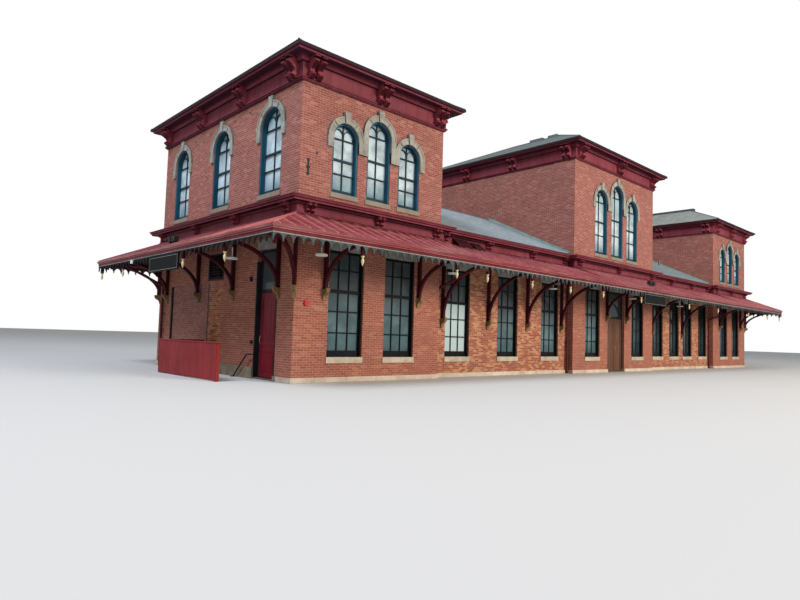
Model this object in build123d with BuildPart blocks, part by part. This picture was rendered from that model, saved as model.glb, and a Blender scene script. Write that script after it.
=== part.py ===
# Railway station building: three brick pavilions of two storeys joined by two
# single-storey links, with a canopy on brackets all round. Sizes in millimetres.
# X runs along the platform front, Y runs from the front to the rear, Z is up.
# The origin is the middle of the plan at ground level.

import os
from math import sqrt

from build123d import *

os.makedirs("parts", exist_ok=True)

# Plan of the brick walls
building_length = 35610
building_depth = 9310
end_pavilion_width = 5640
centre_pavilion_width = 7610
link_setback = 300
wall_thickness = 400

# Stone base and floors
plinth_height = 150
plinth_projection = 40
end_plinth_height = 340
end_plinth_projection = 70
floor_thickness = 40
upper_floor_thickness = 300

# Storey heights
belt_level = 5000
end_soffit_level = 8790
centre_soffit_level = 9800
frieze_height = 500
frieze_thickness = 60

# Lower windows, square headed, and the stones above and below them
lower_window_width = 1270
lower_sill_level = 710
lower_head_level = 3750
pavilion_window_offset = 1050
centre_window_offset = 2170
link_window_pitch = 2880
right_link_window_places = (-2840, -740, 1060, 3310)
lintel_height = 300
sill_height = 170
sill_bearing = 20
stone_bearing = 80
stone_bed = 130
stone_projection = 30
window_reveal = 120
frame_depth = 100
frame_width = 70
glass_thickness = 12
glass_setback = 45

# Upper windows, round headed
upper_sill_level = 5380
end_tower_window_width = 920
end_tower_window_pitch = 1275
end_tower_side_springing = 7000
end_tower_middle_springing = 7390
centre_tower_window_width = 1100
centre_tower_window_pitch = 1500
centre_tower_side_springing = 7810
centre_tower_middle_springing = 8270
end_wall_window_width = 1200
end_wall_window_pitch = 3100
end_wall_springing = 7320
upper_sill_height = 140
hood_width = 190
hood_projection = 50
hood_leg = 330
keystone_width = 230
keystone_rise = 130
keystone_projection = 90

# Doors
door_head_level = 2500
door_thickness = 50
door_gap = 8
door_floor_gap = 10
meeting_gap = 12
front_door_opening = 1600
end_door_opening = 1110
end_door_place = 1432
door_frame_width = 90
transom_bar_height = 90
hinge_running_gap = 0.3
hinge_offset = 10
hinge_length = 110
hinge_inset = 250
hinge_leaf_thickness = 4
hinge_leaf_width = 34

# Vent and closed doorway in the left end wall
louvre_width = 1130
louvre_bottom = 2980
louvre_top = 3850
louvre_place = 4675
louvre_slats = 8
slat_thickness = 20
blind_width = 3160
blind_place = 6665
blind_head = 2900
blind_foot = 340
blind_depth = 60
blind_post_width = 90

# Belt cornice between the storeys
belt_frieze_bottom = 4430
belt_soffit_level = 4830
belt_crown_step = 4930
belt_top_level = 5040
belt_frieze_thickness = 80
belt_soffit_projection = 300
belt_crown_projection = 400

# Cornice and hipped roof of each tower
soffit_projection = 430
crown_projection = 490
roof_edge_projection = 530
crown_step = 90
crown_height = 220
roof_lip = 60
roof_plate = 80
tower_ridge_inset_end = 3000
tower_ridge_inset_centre = 3650
end_tower_roof_rise = 1440
centre_tower_roof_rise = 1950

# Roofs of the links
link_roof_ridge = 7170
link_roof_thickness = 110
link_roof_overhang = 80

# Canopy all round
canopy_projection = 1790
canopy_wall_level = 4590
canopy_eave_level = 3850
canopy_plate = 60
fascia_height = 170
fascia_thickness = 90
valance_height = 215
valance_thickness = 30
valance_inset = 50
valance_joint = 10

# Canopy brackets, their corbels and their pendants
bracket_thickness = 90
bracket_post_depth = 110
bracket_arm_height = 120
bracket_brace_depth = 95
bracket_brace_start = 20
pavilion_bracket_foot = 2630
link_bracket_foot = 2040
corbel_height = 340
corbel_width = 120
corbel_depth = 200
pendant_radius = 45
pendant_length = 270
pendant_neck = 20
pendant_shoulder = 60
pendant_swell = 72
pendant_top = 3410
pendant_inset = 50
pavilion_bracket_offset = 1840
centre_bracket_offset = 955
left_link_bracket_start = 480
left_link_bracket_pitch = 2460
left_link_bracket_count = 4
right_link_bracket_places = (500, 4400)
end_bracket_places = (-3880, -1250, 1250, 3880)

# Scroll brackets under the cornices, set in pairs
tower_scroll_height = 480
tower_scroll_depth = 330
tower_scroll_width = 130
tower_scroll_gap = 130
belt_scroll_height = 200
belt_scroll_depth = 190
belt_scroll_width = 80
belt_scroll_gap = 90
scroll_corner_inset = 320
scroll_foot = 0.2
scroll_belly = 0.7
scroll_waist = 0.3
scroll_hollow = 0.25
link_scroll_places = (-3800, -1390, 1390, 3800)
end_scroll_places = (-4305, -1435, 1435, 4305)

# Rainwater pipes
pipe_radius = 45
pipe_gap = 45
pipe_corner_inset = 100
end_pipe_inset = 500
pipe_bend = 150
strap_width = 70
strap_height = 30
strap_levels = (600, 1900)
leader_drop = 700
leader_clearance = 20

# Hung boards, lamps, low screen, handrail and roof vents
board_length = 2250
board_height = 490
board_drop = 80
board_thickness = 45
end_board_place = -70
front_board_place = 190
lamp_radius = 160
lamp_height = 45
lamp_stem_radius = 15
lamp_level = 3420
lamp_reach = 800
side_lamp_places = (-17525, -12385, -6135, 0, 5995)
end_lamp_place = -2615
screen_length = 3850
screen_start = 1350
screen_height = 1050
screen_distance = 1440
screen_thickness = 45
screen_rail = 90
screen_floor_gap = 60
handrail_radius = 20
handrail_height = 700
handrail_distance = 150
handrail_run = 770
handrail_level_run = 130
handrail_door_gap = 30
handrail_bend = 60
handrail_foot = 60
roof_pipe_radius = 60
roof_pipe_rise = 300
roof_pipe_place = (11600, -1600)
ridge_box_width = 300
ridge_box_rise = 80
ridge_boxes = ((-100, 800), (-1100, 550))

half_length = building_length / 2
half_depth = building_depth / 2
pavilion_x = half_length - end_pavilion_width / 2
link_inner_x = centre_pavilion_width / 2
link_outer_x = half_length - end_pavilion_width
link_centre_x = (link_inner_x + link_outer_x) / 2
pavilions = (
    (-pavilion_x, end_pavilion_width),
    (0, centre_pavilion_width),
    (pavilion_x, end_pavilion_width),
)
wall_faces = {
    "front": ((0, -1, 0), half_depth),
    "front_link": ((0, -1, 0), half_depth - link_setback),
    "rear": ((0, 1, 0), half_depth),
    "rear_link": ((0, 1, 0), half_depth - link_setback),
    "left": ((-1, 0, 0), half_length),
    "right": ((1, 0, 0), half_length),
}


def block(x0, x1, y0, y1, z0, z1, mode=Mode.ADD):
    """Box between two corners, in the part being built."""
    with Locations(((x0 + x1) / 2, (y0 + y1) / 2, (z0 + z1) / 2)):
        Box(abs(x1 - x0), abs(y1 - y0), abs(z1 - z0), mode=mode)


def facing(origin, normal):
    """Plane on a wall: local X to the right seen from outside, local Y up."""
    return Plane(origin=origin, x_dir=(-normal[1], normal[0], 0), z_dir=normal)


def on_wall(side, along):
    """Plane on the outer face of one wall, at a place along it."""
    normal, distance = wall_faces[side]
    if normal[0] == 0:
        return facing((along, normal[1] * distance, 0), normal)
    return facing((normal[0] * distance, along, 0), normal)


def across_wall(origin, outward):
    """Plane square to a wall: local X points outward, local Y up."""
    return Plane(origin=origin, x_dir=outward, z_dir=(outward[1], -outward[0], 0))


def upright(width, bottom, top, mode=Mode.ADD):
    """Rectangle between two levels, centred on the sketch's Y axis."""
    with Locations((0, (bottom + top) / 2)):
        Rectangle(width, top - bottom, mode=mode)


def arched(width, bottom, springing, mode=Mode.ADD):
    """Round-headed shape from a sill level to its springing and over."""
    upright(width, bottom, springing, mode=mode)
    with Locations((0, springing)):
        Circle(width / 2, mode=mode)


def plan_outline(outset, mode=Mode.ADD):
    """Footprint of the outer walls, grown by an outset on every side."""
    for centre, width in pavilions:
        with Locations((centre, 0)):
            Rectangle(width + 2 * outset, building_depth + 2 * outset, mode=mode)
    Rectangle(2 * pavilion_x, building_depth - 2 * link_setback + 2 * outset, mode=mode)


def ring_side(side, outer, inner, bottom, top):
    """One side of a ring that follows the footprint between two outsets."""
    reach = building_length
    depth = half_depth - link_setback + inner
    with BuildPart(mode=Mode.PRIVATE) as ring:
        with BuildSketch(Plane.XY.offset(bottom)):
            plan_outline(outer)
            plan_outline(inner, mode=Mode.SUBTRACT)
        extrude(amount=top - bottom)
        if side == "front":
            block(-reach, reach, -depth, reach, bottom, top, mode=Mode.SUBTRACT)
        elif side == "rear":
            block(-reach, reach, -reach, depth, bottom, top, mode=Mode.SUBTRACT)
        else:
            sign = -1 if side == "left" else 1
            block(-sign * reach, sign * (half_length + inner), -reach, reach, bottom, top,
                  mode=Mode.SUBTRACT)
            block(-reach, reach, -reach, -depth, bottom, top, mode=Mode.SUBTRACT)
            block(-reach, reach, depth, reach, bottom, top, mode=Mode.SUBTRACT)
    return ring.part


def sloped_plate(corners, foot, uphill, pitch, thickness):
    """Roof plate: an outline in plan between two sloping planes."""
    normal = Vector(-uphill[0] * pitch, -uphill[1] * pitch, 1)
    low = foot[2] - thickness
    high = foot[2] + pitch * (building_depth + building_length)
    with BuildPart(mode=Mode.PRIVATE) as plate:
        with BuildSketch(Plane.XY.offset(low)):
            with BuildLine():
                Polyline(*corners, close=True)
            make_face()
        extrude(amount=high - low)
        split(bisect_by=Plane(origin=foot, z_dir=normal), keep=Keep.BOTTOM)
        base = (foot[0], foot[1], foot[2] - thickness)
        split(bisect_by=Plane(origin=base, z_dir=normal), keep=Keep.TOP)
    return plate.part


# Stone base course under the outer walls, open at the doorways
left_door_y = -half_depth + end_door_place
door_start = left_door_y - end_door_opening / 2
door_end = left_door_y + end_door_opening / 2
with BuildPart() as plinth_sides:
    for side in ("front", "rear"):
        add(ring_side(side, plinth_projection, -wall_thickness, 0, plinth_height))
    block(-front_door_opening / 2, front_door_opening / 2,
          -half_depth - plinth_projection, -half_depth + wall_thickness,
          0, plinth_height, mode=Mode.SUBTRACT)
plinth_sides.part.label = "plinth_sides"
export_step(plinth_sides.part, "parts/plinth_sides.step")

with BuildPart() as plinth_ends:
    for side in ("left", "right"):
        add(ring_side(side, plinth_projection, -wall_thickness, 0, plinth_height))
    block(-half_length - plinth_projection, -half_length + wall_thickness,
          door_start, door_end, 0, plinth_height, mode=Mode.SUBTRACT)
    block(-half_length - end_plinth_projection, -half_length, door_end,
          half_depth - link_setback - wall_thickness, 0, end_plinth_height)
plinth_ends.part.label = "plinth_ends"
export_step(plinth_ends.part, "parts/plinth_ends.step")

# Ground floor inside the walls, with a threshold in each doorway
with BuildPart() as ground_floor:
    with BuildSketch():
        plan_outline(-wall_thickness)
    extrude(amount=floor_thickness)
    block(-front_door_opening / 2, front_door_opening / 2,
          -half_depth, -half_depth + wall_thickness, 0, floor_thickness)
    block(-half_length, -half_length + wall_thickness,
          left_door_y - end_door_opening / 2, left_door_y + end_door_opening / 2,
          0, floor_thickness)
ground_floor.part.label = "ground_floor"
export_step(ground_floor.part, "parts/ground_floor.step")

# Upper floors of the three towers
with BuildPart() as upper_floors:
    for centre, width in pavilions:
        outer_x = width / 2 if centre == 0 else width / 2 - wall_thickness
        left = centre - (outer_x if centre < 0 else width / 2)
        right = centre + (outer_x if centre > 0 else width / 2)
        block(left, right, -half_depth + wall_thickness, half_depth - wall_thickness,
              belt_level - upper_floor_thickness, belt_level)
upper_floors.part.label = "upper_floors"
export_step(upper_floors.part, "parts/upper_floors.step")

# Places of the square-headed windows of the lower storey
left_link_windows = tuple(-link_centre_x + link_window_pitch * i for i in (-1, 0, 1))
right_link_windows = tuple(link_centre_x + place for place in right_link_window_places)
left_pavilion_windows = (-pavilion_x - pavilion_window_offset,
                         -pavilion_x + pavilion_window_offset)
right_pavilion_windows = tuple(-x for x in reversed(left_pavilion_windows))
front_bays = (
    ("left", -half_length, -link_outer_x, 0, left_pavilion_windows),
    ("left_link", -link_outer_x, -link_inner_x, link_setback, left_link_windows),
    ("centre_left", -link_inner_x, -front_door_opening / 2, 0, (-centre_window_offset,)),
    ("centre_right", front_door_opening / 2, link_inner_x, 0, (centre_window_offset,)),
    ("right_link", link_inner_x, link_outer_x, link_setback, right_link_windows),
    ("right", link_outer_x, half_length, 0, right_pavilion_windows),
)
rear_bays = (
    ("left", -half_length, -link_outer_x, 0, left_pavilion_windows),
    ("left_link", -link_outer_x, -link_inner_x, link_setback, left_link_windows),
    ("centre", -link_inner_x, link_inner_x, 0, (-centre_window_offset, 0, centre_window_offset)),
    ("right_link", link_inner_x, link_outer_x, link_setback, right_link_windows),
    ("right", link_outer_x, half_length, 0, right_pavilion_windows),
)
end_windows = (-end_wall_window_pitch, 0, end_wall_window_pitch)


def lower_window_planes(side):
    """Wall planes of the lower windows on one side."""
    if side == "right":
        return [on_wall(side, y) for y in end_windows]
    planes = []
    for name, start, end, setback, windows in (front_bays if side == "front" else rear_bays):
        face = side if setback == 0 else f"{side}_link"
        planes += [on_wall(face, x) for x in windows]
    return planes


def cut_lower_windows(planes):
    """Cut the lower windows and the beds of their stones through a wall."""
    if not planes:
        return
    with BuildSketch(*planes) as openings:
        upright(lower_window_width, lower_sill_level, lower_head_level)
    extrude(openings.sketch, amount=-wall_thickness, mode=Mode.SUBTRACT)
    with BuildSketch(*planes) as beds:
        upright(lower_window_width + 2 * stone_bearing, lower_head_level,
                lower_head_level + lintel_height)
        upright(lower_window_width + 2 * sill_bearing, lower_sill_level - sill_height,
                lower_sill_level)
    extrude(beds.sketch, amount=-stone_bed, mode=Mode.SUBTRACT)


# Lower walls of the front and the rear, in bays between the pavilion corners
for side, bays in (("front", front_bays), ("rear", rear_bays)):
    sign = -1 if side == "front" else 1
    for kind, face_setback in (("pavilion", 0), ("link", link_setback)):
        outer_y = sign * (half_depth - face_setback)
        face = side if face_setback == 0 else f"{side}_link"
        with BuildPart() as walls:
            for name, start, end, setback, windows in bays:
                if setback == face_setback:
                    block(start, end, outer_y, outer_y - sign * wall_thickness,
                          plinth_height, belt_level)
                    cut_lower_windows([on_wall(face, x) for x in windows])
        walls.part.label = f"{side}_{kind}_walls"
        export_step(walls.part, f"parts/{side}_{kind}_walls.step")

# Walls over the two doorways, with the beds of their lintels
with BuildPart() as walls_over_doors:
    block(-front_door_opening / 2, front_door_opening / 2,
          -half_depth, -half_depth + wall_thickness, lower_head_level, belt_level)
    block(-front_door_opening / 2, front_door_opening / 2,
          -half_depth, -half_depth + stone_bed,
          lower_head_level, lower_head_level + lintel_height, mode=Mode.SUBTRACT)
    block(-half_length, -half_length + wall_thickness, door_start, door_end,
          lower_head_level, belt_level)
    block(-half_length, -half_length + stone_bed, door_start, door_end,
          lower_head_level, lower_head_level + lintel_height, mode=Mode.SUBTRACT)
walls_over_doors.part.label = "walls_over_doors"
export_step(walls_over_doors.part, "parts/walls_over_doors.step")

# Left end wall on both sides of its doorway, with the vent hole and the shallow
# recess of a closed doorway
end_wall_start = -half_depth + wall_thickness
end_wall_end = half_depth - wall_thickness
louvre_y = -half_depth + louvre_place
blind_y = -half_depth + blind_place
with BuildPart() as left_wall:
    block(-half_length, -half_length + wall_thickness, end_wall_start, door_start,
          plinth_height, belt_level)
    block(-half_length, -half_length + wall_thickness, door_end, end_wall_end,
          plinth_height, belt_level)
    with BuildSketch(on_wall("left", louvre_y)):
        upright(louvre_width, louvre_bottom, louvre_top)
    extrude(amount=-wall_thickness, mode=Mode.SUBTRACT)
    with BuildSketch(on_wall("left", blind_y)):
        upright(blind_width, blind_foot, blind_head)
    extrude(amount=-blind_depth, mode=Mode.SUBTRACT)
left_wall.part.label = "left_wall"
export_step(left_wall.part, "parts/left_wall.step")

# Right end wall with three lower windows
with BuildPart() as right_wall:
    block(half_length - wall_thickness, half_length, end_wall_start, end_wall_end,
          plinth_height, belt_level)
    cut_lower_windows(lower_window_planes("right"))
right_wall.part.label = "right_wall"
export_step(right_wall.part, "parts/right_wall.step")

# Upper walls of the towers
towers = (
    (-pavilion_x, end_pavilion_width, end_soffit_level, end_tower_window_width,
     end_tower_window_pitch, end_tower_side_springing, end_tower_middle_springing),
    (0, centre_pavilion_width, centre_soffit_level, centre_tower_window_width,
     centre_tower_window_pitch, centre_tower_side_springing, centre_tower_middle_springing),
    (pavilion_x, end_pavilion_width, end_soffit_level, end_tower_window_width,
     end_tower_window_pitch, end_tower_side_springing, end_tower_middle_springing),
)


def tower_windows(side, centre, width, pitch, side_springing, middle_springing):
    """Plane, width and springing of the three windows on a tower's face."""
    return [
        (on_wall(side, centre - pitch), width, side_springing),
        (on_wall(side, centre), width, middle_springing),
        (on_wall(side, centre + pitch), width, side_springing),
    ]


def end_wall_windows(side):
    """Plane, width and springing of the windows on an end wall's upper storey."""
    return [(on_wall(side, y), end_wall_window_width, end_wall_springing) for y in end_windows]


def cut_arched_windows(windows):
    """Cut round-headed windows and the beds of their sills through a wall."""
    for plane, width, springing in windows:
        with BuildSketch(plane) as opening:
            arched(width, upper_sill_level, springing)
        extrude(opening.sketch, amount=-wall_thickness, mode=Mode.SUBTRACT)
        with BuildSketch(plane) as bed:
            upright(width + stone_bearing, upper_sill_level - upper_sill_height,
                    upper_sill_level)
        extrude(bed.sketch, amount=-stone_bed, mode=Mode.SUBTRACT)


upper_windows = {"left": end_wall_windows("left"), "right": end_wall_windows("right")}
for side, sign in (("front", -1), ("rear", 1)):
    upper_windows[side] = []
    with BuildPart() as walls:
        for centre, width, top, opening, pitch, side_springing, middle_springing in towers:
            windows = tower_windows(side, centre, opening, pitch, side_springing,
                                    middle_springing)
            upper_windows[side] += windows
            block(centre - width / 2, centre + width / 2, sign * half_depth,
                  sign * (half_depth - wall_thickness), belt_level, top)
            cut_arched_windows(windows)
    walls.part.label = f"tower_{side}_walls"
    export_step(walls.part, f"parts/tower_{side}_walls.step")

with BuildPart() as tower_end_walls:
    for side, sign in (("left", -1), ("right", 1)):
        block(sign * half_length, sign * (half_length - wall_thickness),
              end_wall_start, end_wall_end, belt_level, end_soffit_level)
        cut_arched_windows(upper_windows[side])
tower_end_walls.part.label = "tower_end_walls"
export_step(tower_end_walls.part, "parts/tower_end_walls.step")

# Plain tower walls that rise beside the link roofs
with BuildPart() as tower_inner_walls:
    for sign in (-1, 1):
        block(sign * link_outer_x, sign * (link_outer_x + wall_thickness),
              end_wall_start, end_wall_end, belt_level, end_soffit_level)
        block(sign * link_inner_x, sign * (link_inner_x - wall_thickness),
              end_wall_start, end_wall_end, belt_level, centre_soffit_level)
tower_inner_walls.part.label = "tower_inner_walls"
export_step(tower_inner_walls.part, "parts/tower_inner_walls.step")

# Stone lintels and sills, bedded in the walls
side_names = ("front", "rear", "right")
with BuildPart() as lower_lintels:
    for side in side_names:
        with BuildSketch(*[p.offset(-stone_bed) for p in lower_window_planes(side)]):
            upright(lower_window_width + 2 * stone_bearing, lower_head_level,
                    lower_head_level + lintel_height)
        extrude(amount=stone_bed + stone_projection)
    with BuildSketch(on_wall("front", 0).offset(-stone_bed)):
        upright(front_door_opening, lower_head_level, lower_head_level + lintel_height)
    extrude(amount=stone_bed + stone_projection)
    with BuildSketch(on_wall("left", left_door_y).offset(-stone_bed)):
        upright(end_door_opening, lower_head_level, lower_head_level + lintel_height)
    extrude(amount=stone_bed + stone_projection)
lower_lintels.part.label = "lower_lintels"
export_step(lower_lintels.part, "parts/lower_lintels.step")

with BuildPart() as window_sills:
    for side in side_names:
        with BuildSketch(*[p.offset(-stone_bed) for p in lower_window_planes(side)]):
            upright(lower_window_width + 2 * sill_bearing, lower_sill_level - sill_height,
                    lower_sill_level)
        extrude(amount=stone_bed + stone_projection)
    for windows in upper_windows.values():
        for plane, width, springing in windows:
            with BuildSketch(plane.offset(-stone_bed)):
                upright(width + stone_bearing, upper_sill_level - upper_sill_height,
                        upper_sill_level)
            extrude(amount=stone_bed + stone_projection)
window_sills.part.label = "window_sills"
export_step(window_sills.part, "parts/window_sills.step")

# Arched hood stones with raised keystones over the upper windows
with BuildPart() as hood_stones:
    for windows in upper_windows.values():
        for plane, width, springing in windows:
            with BuildSketch(plane):
                arched(width + 2 * hood_width, springing - hood_leg, springing)
                arched(width, springing - hood_leg, springing, mode=Mode.SUBTRACT)
            extrude(amount=hood_projection)
            with BuildSketch(plane):
                upright(keystone_width, springing + width / 2,
                        springing + width / 2 + hood_width + keystone_rise)
            extrude(amount=keystone_projection)
hood_stones.part.label = "hood_stones"
export_step(hood_stones.part, "parts/hood_stones.step")

# Window frames behind the wall face, and one sheet of glass in each
with BuildPart() as lower_window_frames:
    for side in side_names:
        with BuildSketch(*[p.offset(-window_reveal) for p in lower_window_planes(side)]):
            upright(lower_window_width, lower_sill_level, lower_head_level)
            upright(lower_window_width - 2 * frame_width, lower_sill_level + frame_width,
                    lower_head_level - frame_width, mode=Mode.SUBTRACT)
        extrude(amount=-frame_depth)
lower_window_frames.part.label = "lower_window_frames"
export_step(lower_window_frames.part, "parts/lower_window_frames.step")

glass_depth = window_reveal + glass_setback
with BuildPart() as lower_window_glass:
    for side in side_names:
        with BuildSketch(*[p.offset(-glass_depth) for p in lower_window_planes(side)]):
            upright(lower_window_width - 2 * frame_width, lower_sill_level + frame_width,
                    lower_head_level - frame_width)
        extrude(amount=-glass_thickness)
lower_window_glass.part.label = "lower_window_glass"
export_step(lower_window_glass.part, "parts/lower_window_glass.step")

with BuildPart() as upper_window_frames:
    for windows in upper_windows.values():
        for plane, width, springing in windows:
            with BuildSketch(plane.offset(-window_reveal)):
                arched(width, upper_sill_level, springing)
                arched(width - 2 * frame_width, upper_sill_level + frame_width, springing,
                       mode=Mode.SUBTRACT)
            extrude(amount=-frame_depth)
upper_window_frames.part.label = "upper_window_frames"
export_step(upper_window_frames.part, "parts/upper_window_frames.step")

with BuildPart() as upper_window_glass:
    for windows in upper_windows.values():
        for plane, width, springing in windows:
            with BuildSketch(plane.offset(-glass_depth)):
                arched(width - 2 * frame_width, upper_sill_level + frame_width, springing)
            extrude(amount=-glass_thickness)
upper_window_glass.part.label = "upper_window_glass"
export_step(upper_window_glass.part, "parts/upper_window_glass.step")

# Timber frames of the doorways with a transom bar, and the glass over it
front_leaf_zone = front_door_opening - 2 * door_frame_width
end_leaf_zone = end_door_opening - 2 * door_frame_width
doorways = (
    (on_wall("front", 0), front_door_opening),
    (on_wall("left", left_door_y), end_door_opening),
)
with BuildPart() as door_frames:
    for plane, width in doorways:
        with BuildSketch(plane.offset(-window_reveal)):
            upright(width, floor_thickness, lower_head_level)
            inner = width - 2 * door_frame_width
            upright(inner, floor_thickness, door_head_level, mode=Mode.SUBTRACT)
            upright(inner, door_head_level + transom_bar_height,
                    lower_head_level - door_frame_width, mode=Mode.SUBTRACT)
        extrude(amount=-door_thickness)
door_frames.part.label = "door_frames"
export_step(door_frames.part, "parts/door_frames.step")

with BuildPart() as transom_glass:
    for plane, width in doorways:
        with BuildSketch(plane.offset(-window_reveal - (door_thickness - glass_thickness) / 2)):
            upright(width - 2 * door_frame_width, door_head_level + transom_bar_height,
                    lower_head_level - door_frame_width)
        extrude(amount=-glass_thickness)
transom_glass.part.label = "transom_glass"
export_step(transom_glass.part, "parts/transom_glass.step")

# Door leaves, closed: the end door is one leaf, the front door a pair
door_bottom = floor_thickness + door_floor_gap
door_top = door_head_level - door_gap
front_leaf_outer = front_leaf_zone / 2 - door_gap
end_leaf_outer = end_leaf_zone / 2 - door_gap
front_door_face = on_wall("front", 0).offset(-window_reveal)
end_door_face = on_wall("left", left_door_y).offset(-window_reveal)
for name, sign in (("front_door_left", -1), ("front_door_right", 1)):
    leaf_width = front_leaf_outer - meeting_gap / 2
    with BuildPart() as leaf:
        with BuildSketch(front_door_face):
            with Locations((sign * (front_leaf_outer + meeting_gap / 2) / 2,
                            (door_bottom + door_top) / 2)):
                Rectangle(leaf_width, door_top - door_bottom)
        extrude(amount=-door_thickness)
    leaf.part.label = name
    export_step(leaf.part, f"parts/{name}.step")

with BuildPart() as end_door:
    with BuildSketch(end_door_face):
        upright(2 * end_leaf_outer, door_bottom, door_top)
    extrude(amount=-door_thickness)
end_door.part.label = "end_door"
export_step(end_door.part, "parts/end_door.step")

# Hinge barrels on the inner face of the frames, on the axes of the doors
hinge_levels = (door_bottom + hinge_inset, (door_bottom + door_top) / 2, door_top - hinge_inset)
hinges = (
    (front_door_face, -front_leaf_zone / 2, -1),
    (front_door_face, front_leaf_zone / 2, 1),
    (end_door_face, end_leaf_zone / 2, 1),
)
hinge_radius = sqrt(hinge_offset ** 2 + (door_gap / 2) ** 2) - hinge_running_gap
with BuildPart() as door_hinges:
    for plane, jamb, away in hinges:
        axis_x = jamb - away * door_gap / 2
        inner_face = plane.offset(-door_thickness)
        for level in hinge_levels:
            with BuildSketch(inner_face):
                with Locations((jamb + away * hinge_leaf_width / 2 - away * door_gap / 2, level)):
                    Rectangle(hinge_leaf_width, hinge_length)
            extrude(amount=-hinge_leaf_thickness)
            foot = inner_face.offset(-hinge_offset).from_local_coords(
                Vector(axis_x, level - hinge_length / 2, 0))
            with BuildSketch(Plane(origin=foot, z_dir=(0, 0, 1))):
                Circle(hinge_radius)
            extrude(amount=hinge_length)
door_hinges.part.label = "door_hinges"
export_step(door_hinges.part, "parts/door_hinges.step")

# Slatted vent and the posts of the closed doorway in the left end wall
with BuildPart() as wall_louvre:
    with BuildSketch(on_wall("left", louvre_y)):
        upright(louvre_width, louvre_bottom, louvre_top)
        upright(louvre_width - 2 * frame_width, louvre_bottom + frame_width,
                louvre_top - frame_width, mode=Mode.SUBTRACT)
    extrude(amount=-frame_depth)
    slat_pitch = (louvre_top - louvre_bottom - 2 * frame_width) / louvre_slats
    with BuildSketch(on_wall("left", louvre_y)):
        for i in range(louvre_slats):
            level = louvre_bottom + frame_width + (i + 0.5) * slat_pitch
            with Locations((0, level)):
                Rectangle(louvre_width - 2 * frame_width, slat_thickness)
    extrude(amount=-frame_depth)
wall_louvre.part.label = "wall_louvre"
export_step(wall_louvre.part, "parts/wall_louvre.step")

with BuildPart() as blind_door_posts:
    with BuildSketch(on_wall("left", blind_y).offset(-blind_depth)):
        post_x = (blind_width - blind_post_width) / 2
        post_level = (blind_foot + blind_head) / 2
        with Locations((-post_x, post_level), (post_x, post_level)):
            Rectangle(blind_post_width, blind_head - blind_foot)
    extrude(amount=blind_depth)
blind_door_posts.part.label = "blind_door_posts"
export_step(blind_door_posts.part, "parts/blind_door_posts.step")

# Belt cornice: frieze board, soffit and two-step crown, mitred over the corners
belt_steps = (
    (belt_frieze_thickness, belt_frieze_bottom, belt_soffit_level),
    (belt_soffit_projection, belt_soffit_level, belt_crown_step),
    (belt_crown_projection, belt_crown_step, belt_top_level),
)
for name, sides in (("sides", ("front", "rear")), ("ends", ("left", "right"))):
    with BuildPart() as belt:
        for side in sides:
            for outset, bottom, top in belt_steps:
                add(ring_side(side, outset, 0, bottom, top))
    belt.part.label = f"belt_cornice_{name}"
    export_step(belt.part, f"parts/belt_cornice_{name}.step")

# Canopy: sloping boards from the eave up to the frieze, with a fascia at the eave
eave_x = half_length + canopy_projection
eave_y = half_depth + canopy_projection
canopy_rise = canopy_wall_level - canopy_eave_level
pavilion_run = canopy_projection - belt_frieze_thickness
pavilion_pitch = canopy_rise / pavilion_run
link_pitch = canopy_rise / (pavilion_run + link_setback)
fascia_bottom = canopy_eave_level - fascia_height


def canopy_side(corners, foot, uphill, pitch, fascia_corners):
    """Canopy boards over one stretch, with the fascia board at the eave."""
    add(sloped_plate(corners, foot, uphill, pitch, canopy_plate))
    with BuildSketch(Plane.XY.offset(fascia_bottom)) as fascia:
        with BuildLine():
            Polyline(*fascia_corners, close=True)
        make_face()
    extrude(fascia.sketch, amount=fascia_height)


def clear_of_walls():
    """Cut the canopy back to the face of the belt frieze."""
    with BuildSketch(Plane.XY.offset(fascia_bottom)) as inside:
        plan_outline(belt_frieze_thickness)
    extrude(inside.sketch, amount=belt_top_level - fascia_bottom, mode=Mode.SUBTRACT)


with BuildPart() as canopy_sides:
    for sign in (-1, 1):
        edge = sign * eave_y
        lip = sign * (eave_y - fascia_thickness)
        wall = sign * half_depth
        link_wall = sign * (half_depth - link_setback)
        stretches = (
            (-half_length, -link_outer_x, wall, pavilion_pitch, -eave_x),
            (-link_outer_x, -link_inner_x, link_wall, link_pitch, None),
            (-link_inner_x, link_inner_x, wall, pavilion_pitch, None),
            (link_inner_x, link_outer_x, link_wall, link_pitch, None),
            (link_outer_x, half_length, wall, pavilion_pitch, eave_x),
        )
        for start, end, inner, pitch, corner in stretches:
            low_start = corner if corner is not None and corner < 0 else start
            low_end = corner if corner is not None and corner > 0 else end
            lip_start = low_start + fascia_thickness if low_start == -eave_x else start
            lip_end = low_end - fascia_thickness if low_end == eave_x else end
            canopy_side(
                ((low_start, edge), (low_end, edge), (end, inner), (start, inner)),
                (start, edge, canopy_eave_level), (0, -sign), pitch,
                ((low_start, edge), (low_end, edge), (lip_end, lip), (lip_start, lip)),
            )
    clear_of_walls()
canopy_sides.part.label = "canopy_sides"
export_step(canopy_sides.part, "parts/canopy_sides.step")

with BuildPart() as canopy_ends:
    for sign in (-1, 1):
        edge = sign * eave_x
        lip = sign * (eave_x - fascia_thickness)
        lip_y = eave_y - fascia_thickness
        wall = sign * half_length
        canopy_side(
            ((edge, -eave_y), (edge, eave_y), (wall, half_depth), (wall, -half_depth)),
            (edge, 0, canopy_eave_level), (-sign, 0), pavilion_pitch,
            ((edge, -eave_y), (edge, eave_y), (lip, lip_y), (lip, -lip_y)),
        )
    clear_of_walls()
canopy_ends.part.label = "canopy_ends"
export_step(canopy_ends.part, "parts/canopy_ends.step")

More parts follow.
